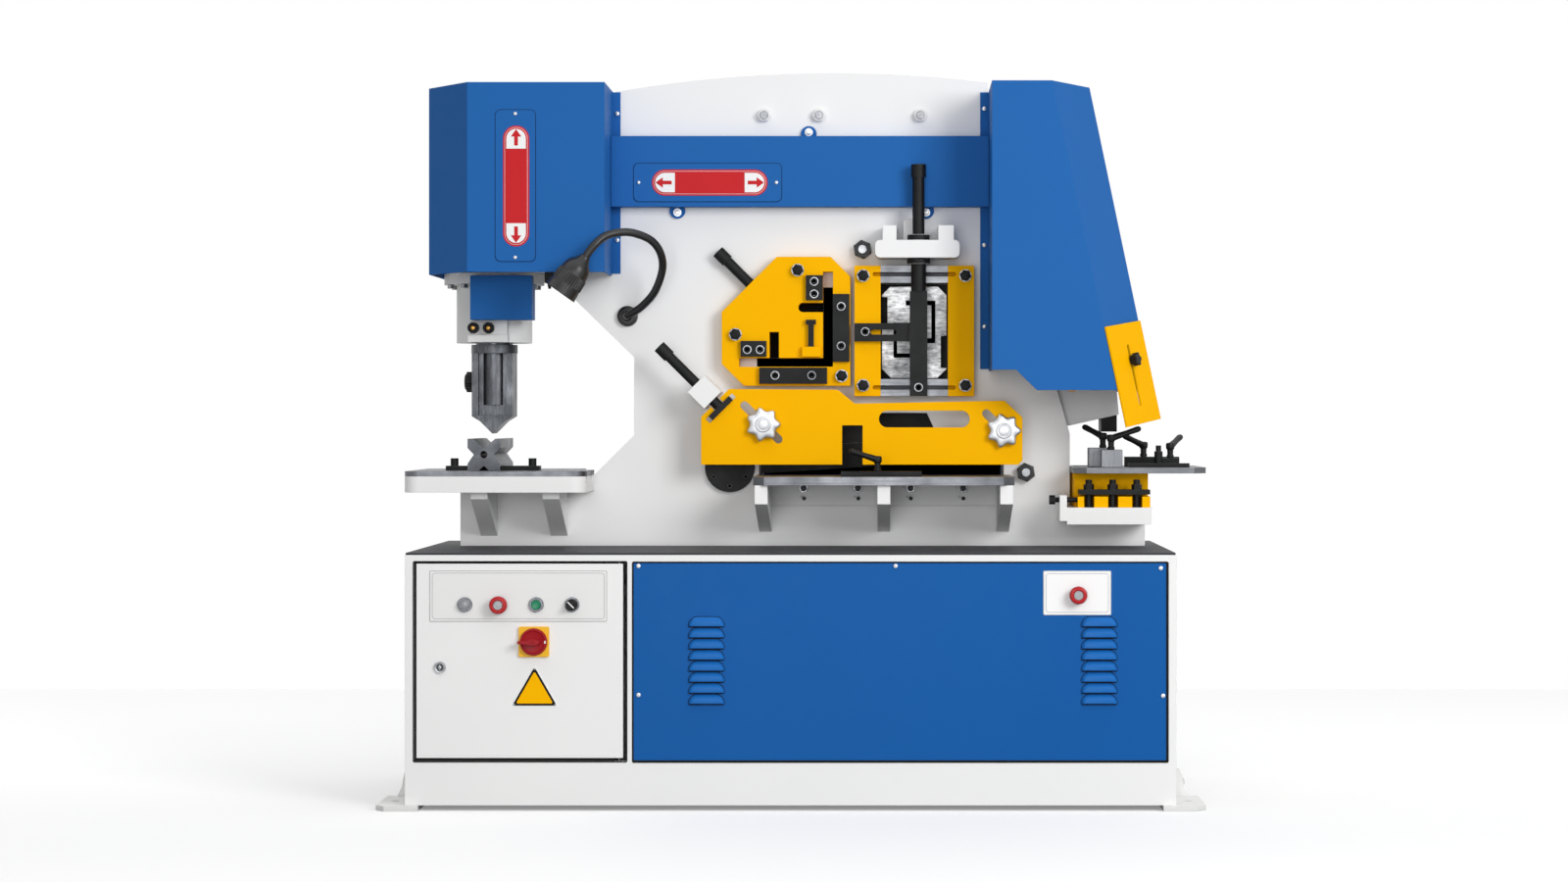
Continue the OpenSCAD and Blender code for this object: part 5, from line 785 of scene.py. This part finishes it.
blade_back, blade_front = 0.050, 0.026
blade_outline = [(-0.056, -0.1135), (0.056, -0.1135), (0.0785, -0.091), (0.0785, -0.0884),
                 (0.064, -0.0884), (0.064, -0.011), (0.0785, -0.011), (0.0785, 0.088),
                 (0.058, 0.1085), (-0.058, 0.1085), (-0.0785, 0.088), (-0.0785, 0.0828),
                 (-0.064, 0.0828), (-0.064, 0.0159), (-0.0785, 0.0159), (-0.0785, -0.091)]
section_blade = cut_plate("section_blade", blade_outline,
                          facing_front(section_x, blade_back, section_z),
                          blade_back - blade_front, 0.0008, oiled_steel, "frame", "tool_steel")
cut_channels(section_blade, blade_back + 0.01)

strip_x, strip_back, strip_front = (0.206, 0.368), 0.040, -0.010
groove_floor, groove_h = 0.010, 0.010
lengthwise = Matrix(((0, 0, 1, strip_x[0]), (1, 0, 0, 0), (0, 1, 0, 0), (0, 0, 0, 1)))
bm = bmesh.new()
for low, high in ((0.9541, 0.9954), (1.2266, 1.2679)):
    groove = ((low + high) / 2 - groove_h / 2, (low + high) / 2 + groove_h / 2)
    prism(bm, [(strip_back, low), (strip_back, high), (strip_front, high),
               (strip_front, groove[1]), (groove_floor, groove[1]), (groove_floor, groove[0]),
               (strip_front, groove[0]), (strip_front, low)],
          lengthwise, strip_x[1] - strip_x[0])
bed_x, bed_z = (-0.085, 0.500), (0.704, 0.764)
prism(bm, rectangle(bed_x, bed_z), facing_front(0, 0.070, 0), 0.030, 0.0006)
strips = piece("blade_strips_and_bed_blade", bm, ground_steel, "frame", "tool_steel")
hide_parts("fixed_blades")
# Painted shade: dark floors deep in the strips' grooves
bm = bmesh.new()
for z in (0.97475, 1.24725):
    prism(bm, rectangle(strip_x, (z - 0.0047, z + 0.0047)), facing_front(0, groove_floor, 0),
          0.002)
piece("groove_shade_floors", bm, groove_shade_steel, "frame", "tool_steel")

# Painted shade: the moving blades and the plate above the bed blade are black, for the shade behind
# the guard
moving_back, moving_front = 0.080, 0.0703
bm = bmesh.new()
prism(bm, [(bed_x[0], 0.766), (bed_x[1], 0.804), (bed_x[1], 0.864), (bed_x[0], 0.826)],
      facing_front(0, moving_back, 0), moving_back - moving_front, 0.0006)
prism(bm, [(0.744, 0.868), (0.782, 0.868), (0.782, 0.9091), (0.744, 0.9005)],
      facing_front(0, 0.190, 0), 0.100, 0.0008)
prism(bm, [(0.060, 0.8360), (0.400, 0.8580), (0.400, 0.925), (0.060, 0.925)],
      facing_front(0, moving_back, 0), 0.002)
moving_blades = piece("moving_blades_and_shade_plate", bm, black_steel, "beam", "tool_steel")
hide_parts("moving_blades")
moving_section = cut_plate("moving_section_blade", rectangle((-0.081, 0.081), (-0.1155, 0.1155)),
                           facing_front(section_x, moving_back + 0.030, section_z), 0.030, 0,
                           black_steel, "beam", "tool_steel")
cut_channels(moving_section, moving_back + 0.040)

# COVERS
# Folded sheet covers over the punch cylinder and the shear cylinder, joined by a long bridge
# cover, all in blue. They are screwed to the frame through flanges and tabs, and two hatches
# over the travel switches carry plain red direction signs.

# Blue powder coat with little shine, a black lining that is painted shade inside the hood and the
# slots, and flat red print
cover_coat = painted_steel("blue_cover_coat", "#2867AF", "#2463A9", 0.45, specular=0.04)
shade_lining = moulded("black_painted_shade_lining", "#0A0A0B", "#0E0E0F", 0.9, 4.0, specular=0.05)
sign_red = moulded("red_printed_sign", "#C9161F", "#C1141C", 0.4, specular=0.15)
sign_pink = moulded("pale_printed_rim", "#EDB9BD", "#E8B2B6", 0.4, specular=0.15)
dress(cover_coat, "punch_cover", "cylinder_cover", "frame_covers")
hood_x, hood_low_x = (-0.160, 0.416), (-0.067, 0.502)
hood_z, hood_step = (0.736, 1.251), (0.862, 0.930)
lining_t, lining_depth = 0.003, 0.140


def hood_outline(inset):
    left, right = hood_x[0] + inset, hood_x[1] - inset
    low_left, low_right = hood_low_x[0] + inset, hood_low_x[1] - inset
    step, top = hood_step[1] - inset, hood_z[1] - inset
    return [(left, hood_step[0]), (low_left, hood_step[0]), (low_left, hood_z[0]),
            (low_right, hood_z[0]), (low_right, step), (right, step), (right, top), (left, top)]


# Painted shade: a black lining inside the rear hood, so that the slots in front of it look dark
bm = bmesh.new()
hood_back = facing_front(0, 0.3868, 0)
prism(bm, hood_outline(0), hood_back, lining_t)
band(bm, hood_outline(0), hood_outline(lining_t), raised(hood_back, lining_t), lining_depth)
piece("hood_shade_lining", bm, shade_lining, "frame", "black_plastic")


def hex_bolt(bm, place, flats, washer_t=0.0):
    if washer_t:
        lathe(bm, [(0.82 * flats, 0), (0.82 * flats, washer_t), (0.3 * flats, washer_t)],
              place, 24)
    tall = washer_t + 0.6 * flats
    side = hexagon(flats)
    lathe(bm, [(side, washer_t), (side, tall - 0.05 * flats), (0.47 * flats, tall), (0, tall)],
          place, 24)


flange_face, tab_face, flange_screw_d = 0.037, 0.034, 0.012
bm = bmesh.new()
for x, z in ((-0.432, 1.638), (-0.432, 1.332), (0.457, 1.650), (0.457, 1.320), (0.457, 1.123)):
    pan_screw(bm, facing_front(x, flange_face, z), flange_screw_d)
for x, z in ((0.032, 1.593), (-0.286, 1.399), (0.316, 1.399)):
    hex_bolt(bm, facing_front(x, tab_face, z), flange_screw_d, 0.09 * flange_screw_d)
piece("cover_screws", bm, bright_zinc, "frame", "tool_steel")
hatch_t, hatch_r, seal_w = 0.002, 0.012, 0.0012
punch_face = front_of("punch_cover")
bridge_face = front_of("frame_covers")


def hatch(name, x, z, y):
    mid_x, mid_z, w, h = span(x, z)
    middle = facing_front(mid_x, y, mid_z)
    cut_plate(name, round_outline(w, h, hatch_r), middle, hatch_t, 0.0008,
              cover_coat, "frame", "cover_blue")
    bm = bmesh.new()
    band(bm, round_outline(w + 2 * seal_w, h + 2 * seal_w, hatch_r + seal_w),
         round_outline(w, h, hatch_r), middle, 0.0006)
    piece(name + "_seal", bm, seal_and_shade_black, "frame", "black_plastic")


def pill(name, x, z, y, upright):
    # Round-ended sign in three printed layers, with an arrow on a white ground at each end
    mid_x, mid_z, w, h = span(x, z)
    middle = facing_front(mid_x, y, mid_z)
    if upright:
        middle = spun(middle, 90)
        w, h = h, w
    layer = 0.0004
    for i, (part, inset, r, *finish) in enumerate((
            ("_rim", 0, h / 2 - 1e-4, sign_red, "frame", "button_red"),
            ("_line", 0.007, h / 2 - 0.0036, sign_pink, "frame", "fitting_grey"),
            ("_field", 0.010, h / 2 - 0.0051, sign_red, "frame", "button_red"))):
        cut_plate(name + part, round_outline(w - inset, h - inset, r, 12),
                  raised(middle, i * layer), layer, 0, *finish)
    grounds, arrows = bmesh.new(), bmesh.new()
    r = h / 2 - 0.008
    shaft, neck, tip, wide, thin = -0.26 * h, 0.08 * h, 0.36 * h, 0.20 * h, 0.07 * h
    for side in (0, 180):
        end = spun(middle, side) @ Matrix.Translation((w / 2 - h / 2, 0, 3 * layer))
        prism(grounds, [(-0.38 * h, r), (-0.38 * h, -r)] + arc(0, 0, r, -90, 180, 18), end, layer)
        prism(arrows, [(shaft, -thin), (neck, -thin), (neck, -wide), (tip, 0), (neck, wide),
                       (neck, thin), (shaft, thin)], raised(end, layer), layer)
    piece(name + "_ends", grounds, label_white, "frame", "fitting_grey")
    piece(name + "_arrows", arrows, sign_red, "frame", "button_red")


hatch("punch_hatch", (-0.702, -0.608), (1.271, 1.628), punch_face)
pill("punch_sign", (-0.684, -0.622), (1.306, 1.591), punch_face - hatch_t, True)
hatch("bridge_hatch", (-0.389, -0.033), (1.423, 1.515), bridge_face)
pill("bridge_sign", (-0.345, -0.066), (1.437, 1.500), bridge_face - hatch_t, False)
hatch_screw_d = 0.009
bm = bmesh.new()
for x, face, z in ((-0.655, punch_face, 1.619), (-0.655, punch_face, 1.280),
                   (-0.377, bridge_face, 1.4685), (-0.045, bridge_face, 1.4685)):
    pan_screw(bm, facing_front(x, face - hatch_t, z), hatch_screw_d)
piece("hatch_screws", bm, bright_zinc, "frame", "tool_steel")

# PUNCH
# A white cylinder body hangs under the frame's nose. The chromed ram carries a bending punch of
# dark tool steel over a four-way vee die on a slotted table.

# Tool steel keeps the marks of planing and grinding and has bright edges. Oxide bolts stay dark.
die_steel = metal("planed_die_steel", "#5A5C60", "#3F4145", 0.4, (60, 2.0, 2.0),
                  edge_light="#97999D")
punch_steel = metal("worn_punch_steel", "#5F6165", "#404246", 0.42, (3.0, 3.0, 24),
                    edge_light="#A2A4A8")
table_steel = metal("ground_table_plate", "#77797D", "#54565A", 0.38, (150, 1.5, 1.5))
bolt_black = moulded("black_oxide_bolts", "#08080A", "#0E0E10", 0.5, specular=0.15)
dress(white_coat, "punch_cylinder", "punch_table")
dress(chrome_ring, "punch_ram")
dress(punch_steel, "bending_punch")
dress(die_steel, "vee_die")
dress(black_plastic, "tool_knob")
dress(black_steel, "die_clamps")
dress(table_steel, "punch_table_top", "shear_table", "notch_table")
guide_face, guide_screw_x, guide_screw_z = 0.030, (-0.778, -0.741), 1.119
screws, plugs = bmesh.new(), bmesh.new()
for x in guide_screw_x:
    cap_screw(screws, facing_front(x, guide_face, guide_screw_z), 0.026, 0.024)
    lathe(plugs, [(0.0052, 0), (0.0052, 0.0105), (0.0040, 0.0112), (0, 0.0112)],
          facing_front(x, guide_face - 0.011, guide_screw_z), 20)
piece("guide_block_screws", screws, bolt_black, "frame", "black_steel")
piece("guide_screw_plugs", plugs, bronze, "frame", "bronze")
facing_down = Matrix.Rotation(math.radians(180), 4, "X")
travel_x = -0.5935
bm = bmesh.new()
prism(bm, round_outline(0.020, 0.034, 0.003), facing_front(travel_x, 0.040, 1.243), 0.042, 0.0015)
lathe(bm, [(0.0050, 0), (0.0050, 0.006), (0.0038, 0.007), (0.0038, 0.012), (0, 0.013)],
      Matrix.Translation((travel_x, 0.018, 1.226)) @ facing_down, 20)
piece("travel_switch", bm, black_plastic, "frame", "black_plastic")
flange_x, flange_y, flange_z, flange_circle = -0.742, 0.140, 1.227, 0.108
bm = bmesh.new()
for a in (200, 235, 305, 340, 20, 160):
    x = flange_x + flange_circle * math.cos(math.radians(a))
    y = flange_y + flange_circle * math.sin(math.radians(a))
    hex_bolt(bm, Matrix.Translation((x, y, flange_z)) @ facing_down, 0.016)
piece("flange_bolts", bm, zinc, "frame", "tool_steel")

# ANGLE SHEAR
# A yellow face plate with two slots, black guides screwed to it and a clamp screw set into its
# corner. Black floors deep in the slots are painted shade, and white fillers close their ends.
dress(yellow_coat, "angle_plate")
dress(black_steel, "angle_screw", "work_guides")
plate_bolt_flats, cup_screw_d = 0.0245, 0.0165


def washer(bm, place, d, bore_d, t):
    ring(bm, [(bore_d / 2, 0), (d / 2, 0), (d / 2, 0.7 * t), (d / 2 - 0.3 * t, t),
              (bore_d / 2, t)], place, 32)


def bolted(name, points, y, body):
    # Black hexagon bolts, each on a plated washer
    bolts, washers = bmesh.new(), bmesh.new()
    for x, z in points:
        washer(washers, facing_front(x, y, z), 1.26 * plate_bolt_flats, 0.5 * plate_bolt_flats,
               0.0016)
        hex_bolt(bolts, spun(facing_front(x, y - 0.0015, z), 19), plate_bolt_flats)
    piece(name, bolts, bolt_black, body, "black_steel")
    piece(name + "_washers", washers, zinc, body, "tool_steel")


def capped(name, points, y, body):
    # Black socket screws sunk into plated cup washers
    screws, washers = bmesh.new(), bmesh.new()
    for x, z in points:
        place = facing_front(x, y, z)
        washer(washers, place, 1.32 * cup_screw_d, 0.9 * cup_screw_d, 0.0022)
        cap_screw(screws, place, cup_screw_d, 0.006)
    piece(name, screws, bolt_black, body, "black_steel")
    piece(name + "_washers", washers, zinc, body, "tool_steel")


angle_face, guide_t = 0.0, 0.012
bolted("angle_plate_bolts", ((0.006, 1.258), (-0.144, 1.103), (0.112, 1.003)), angle_face, "frame")
capped("guide_screws", ((0.046, 1.230), (0.046, 1.200), (-0.115, 1.066), (-0.084, 1.066),
                        (0.111, 1.170), (0.111, 1.075), (-0.048, 1.004), (0.040, 1.004)),
       angle_face - guide_t, "frame")
slot_floor = facing_front(0, 0.040, 0)
# Painted shade: black floors deep in the angle plate's slots
bm = bmesh.new()
prism(bm, arc(0.019, 1.168, 0.0113, 90, 180, 12) + [(0.0668, 1.1567), (0.0668, 1.1793)],
      slot_floor, 0.0005)
prism(bm, rectangle((-0.0618, -0.0392), (1.0465, 1.1088)), slot_floor, 0.0005)
piece("angle_slot_shade_floors", bm, shade_lining, "frame", "black_plastic")
bm = bmesh.new()
for x, z in (((0.0662, 0.0918), (1.218, 1.2555)), ((-0.1365, -0.094), (1.0235, 1.0475))):
    prism(bm, rectangle(x, z), facing_front(0, 0.069, 0), 0.028)
piece("angle_slot_ends", bm, frame_lightened_coat, "frame", "cabinet_white")

# SECTION SHEAR
# Yellow side strips with hexagon bolts, and an upright black screw with the bar that clamps the
# work. The screw runs in two round nuts in a white bracket with a rib.
dress(yellow_coat, "section_plate")
dress(black_steel, "section_screw")
section_face, arm_face, bar_face = -0.010, -0.026, -0.0403
screw_x, screw_y, screw_bore = 0.297, -0.0283, 0.0148
bolted("section_plate_bolts", [(x, z) for x in (0.164, 0.410) for z in (1.244, 0.980)],
       section_face, "frame")
capped("section_arm_screw", ((0.169, 1.109),), arm_face, "frame")
capped("clamp_bar_screw", ((screw_x, 0.975),), bar_face, "section_clamp")
chamfer = 0.0012
bm = bmesh.new()
for low, high, r in ((1.2711, 1.2849, 0.0275), (1.3271, 1.3414, 0.0268)):
    ring(bm, [(screw_bore, low), (r - chamfer, low), (r, low + chamfer), (r, high - chamfer),
              (r - chamfer, high), (screw_bore, high)],
         Matrix.Translation((screw_x, screw_y, 0)), 48)
piece("section_screw_nuts", bm, black_steel, "frame", "black_steel")
cut_plate("bracket_rib", [(-0.025, 0), (0.025, 0), (0.025, 0.048), (0.018, 0.054),
                          (-0.018, 0.054), (-0.025, 0.048)],
          facing_front(0.286, 0.040, 1.327), 0.034, 0.0015, white_coat, "frame", "cabinet_white")

# PLATE SHEAR
# A yellow guard on two slotted studs with cast star knobs, a clamp screw at its corner, and a
# ground table with a sliding gauge. Bolts hold the bed blade under the guard.
dress(yellow_coat, "plate_guard")
dress(black_steel, "plate_screw", "gauge_bar")
# Tumbled cast aluminium: pale and even, with soft highlights on the lobes
cast_aluminium = metal("cast_aluminium", "#CDCED0", "#B5B7BA", 0.46)


def lobes(scale):
    return lambda a: scale * (0.0366 + 0.0044 * math.cos(7 * a) + 0.0005 * math.cos(14 * a))


def star_knob(name, x, z, node, body):
    # Cast star grip with seven full round lobes and a turned hub that holds the clamp nut
    made = turned(name, [(0.0165, 0), (0.018, 0.002), (lobes(0.82), 0.0045),
                         (lobes(0.95), 0.0070), (lobes(1.0), 0.0100), (lobes(1.0), 0.0130),
                         (lobes(0.96), 0.0160), (lobes(0.86), 0.0182), (0.0235, 0.0196),
                         (0.0185, 0.0200), (0.0180, 0.0222), (0.0170, 0.0232), (0.0150, 0.0232),
                         (0.0142, 0.0220), (0.0120, 0.0218), (0.0114, 0.0236), (0.0100, 0.0242),
                         (0, 0.0244)], facing_front(x, front_of(node) + 0.0237, z), 140,
                  cast_aluminium, body, "knob_grey")
    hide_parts(node)


star_knob("left_star_handle", -0.074, 0.886, "left_star_knob", "left_knob")
star_knob("right_star_handle", 0.500, 0.871, "right_star_knob", "right_knob")
bed_face, bed_low, bed_bolt_z, bed_screw_z = 0.020, 0.028, 0.732, 0.707
bolts, washers = bmesh.new(), bmesh.new()
for x in (0.020, 0.151, 0.278, 0.405):
    washer(washers, facing_front(x, bed_face, bed_bolt_z), 0.021, 0.008, 0.0018)
    hex_bolt(bolts, spun(facing_front(x, bed_face - 0.0017, bed_bolt_z), 12), 0.0145)
    cap_screw(bolts, facing_front(x + 0.001, bed_low, bed_screw_z), 0.0095, 0.005)
piece("bed_bolts", bolts, nut_steel, "frame", "black_steel")
piece("bed_bolt_washers", washers, zinc, "frame", "tool_steel")


def lever(name, at, turn, length, body, node):
    # Moulded clamp lever: a stepped hub and a tapered arm that rises to a full round end
    bm = bmesh.new()
    seat = Matrix.Translation(at)
    lathe(bm, [(0.0078, 0.0004), (0.0086, 0.001), (0.0086, 0.006), (0.0070, 0.008),
               (0.0074, 0.019), (0.0098, 0.022), (0.0103, 0.026), (0.0103, 0.032),
               (0.0092, 0.0352), (0.0050, 0.0362), (0, 0.0364)], seat, 28)
    arm = spun(raised(seat, 0.027), turn) @ Matrix.Rotation(math.radians(72), 4, "Y")
    lathe(bm, [(r, share * length) for r, share in (
        (0.0086, 0.0), (0.0090, 0.18), (0.0080, 0.40), (0.0076, 0.6), (0.0081, 0.85),
        (0.0083, 0.97), (0.0072, 1.04), (0.0040, 1.085), (0, 1.095))],
          arm @ Matrix.Diagonal((0.86, 1.0, 1.0, 1.0)), 20)
    made = piece(name, bm, black_plastic, body, "black_plastic")
    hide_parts(node)


lever("gauge_handle_lever", (0.199, -0.165, 0.776), 195, 0.066, "gauge_handle", "gauge_lever")

# NOTCHER
# A steel table and a yellow die block on a white shelf, with black stops and clamp levers. A
# yellow guard hangs in front of the ram on a small lobed knob.
dress(white_coat, "notch_bracket")
dress(yellow_coat, "notch_die", "notch_guard")
dress(black_steel, "notch_stops")
dress(black_plastic, "notch_guard_knob")
# Milled steel with upright lines
stop_steel = metal("milled_stop_steel", "#7F8184", "#626468", 0.42, (1.4, 1.4, 40))
block_chamfer, block_low = 0.002, 0.7842
bm = bmesh.new()
for (left, right), top, (front, back) in (((0.7305, 0.7805), 0.8262, (-0.1125, -0.0615)),
                                          ((0.7045, 0.7625), 0.8302, (-0.0455, 0.0055))):
    shoulder = top - block_chamfer
    prism(bm, [(left, block_low), (right, block_low), (right, shoulder),
               (right - block_chamfer, top), (left + block_chamfer, top), (left, shoulder)],
          facing_front(0, back, 0), back - front, 0.0008)
piece("stop_blocks", bm, stop_steel, "frame", "tool_steel")
for i, (at, turn) in enumerate((((0.740, -0.020, 0.830), 125), ((0.755, -0.085, 0.826), 15),
                                ((0.841, 0.020, 0.808), 226), ((0.900, -0.040, 0.806), 65)), 1):
    lever("notch_handle_%d" % i, at, turn, 0.072, "lever_%d" % i, "notch_lever_%d" % i)

# WORK LAMP
# A gooseneck lamp with a black moulded bell, bolted to the frame behind the punch. The neck is a
# plastic-covered flexible tube, and the bell has short cooling fins round its waist.

# Satin black plastic, with a soft shine along the bell and the neck
lamp_black = moulded("black_lamp_plastic", "#0B0B0C", "#131314", 0.36, specular=0.4)
neck_foot = Vector((-0.407, 0.026, 1.148))
neck_r, neck_sides, neck_steps = 0.0095, 18, 10
neck_route_mm = ((0, 0, 0), (12, -14, 6), (38, -31, 22), (71, -61, 56), (92, -94, 107),
                 (90, -124, 145), (71, -151, 173), (38, -176, 188), (5, -196, 191),
                 (-32, -216, 181), (-59, -229, 157), (-81, -231, 127))
route = [neck_foot + Vector(point) / 1000 for point in neck_route_mm]


def along(points, i, t):
    # A smooth curve through the points, at the share t of the way from one to the next
    a, b = points[max(i - 1, 0)], points[i]
    c, d = points[min(i + 1, len(points) - 1)], points[min(i + 2, len(points) - 1)]
    return 0.5 * (2 * b + (c - a) * t + (2 * a - 5 * b + 4 * c - d) * t * t
                  + (3 * b - a - 3 * c + d) * t ** 3)


neck = [along(route, i, k / neck_steps) for i in range(len(route) - 1) for k in range(neck_steps)]
neck.append(route[-1])
turns = [2 * math.pi * k / neck_sides for k in range(neck_sides)]
side = Vector((1, 0, 0.3)).normalized()
rings = []
bm = bmesh.new()
for i, point in enumerate(neck):
    ahead = (neck[min(i + 1, len(neck) - 1)] - neck[max(i - 1, 0)]).normalized()
    if i == 0:
        ahead = Vector((0, -1, 0))
    side = (side - ahead * side.dot(ahead)).normalized()
    up = ahead.cross(side)
    rings.append([bm.verts.new(point + neck_r * (math.cos(a) * side + math.sin(a) * up))
                  for a in turns])
for low, high in zip(rings, rings[1:]):
    for i in range(neck_sides):
        k = (i + 1) % neck_sides
        bm.faces.new([low[i], low[k], high[k], high[i]])
tip_way = (neck[-1] - neck[-2]).normalized()
head = Matrix.Translation(neck[-1]) @ tip_way.to_track_quat("Z", "Y").to_matrix().to_4x4()


def fins(r):
    return lambda a: r + 0.0013 * math.cos(36 * a)


lathe(bm, [(neck_r, -0.006), (0.0128, -0.005), (0.0140, 0.001), (0.0170, 0.004), (0.0180, 0.008),
           (0.0270, 0.016), (0.0310, 0.024), (0.0335, 0.034), (0.0345, 0.044),
           (fins(0.0350), 0.046), (fins(0.0368), 0.070), (0.0370, 0.073), (0.0386, 0.084),
           (0.0396, 0.094), (0.0400, 0.096), (0.0400, 0.098), (0.0378, 0.098), (0.0370, 0.094),
           (0.0362, 0.0925), (0, 0.0925)], head, 288)
lathe(bm, [(0.0250, 0), (0.0250, 0.007), (0.0238, 0.011), (0.0190, 0.0136), (0.0130, 0.014),
           (0.0122, 0.020), (0.0096, 0.022)], facing_front(neck_foot[0], 0.040, neck_foot[2]), 40)
lamp = piece("gooseneck_lamp", bm, lamp_black, "frame", "lamp_black")
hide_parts("work_lamp")
turned("lamp_lens", [(0.0360, 0.0927), (0.0355, 0.0945), (0.020, 0.0958), (0, 0.0962)], head, 48,
       label_white, "frame", "lamp_black")
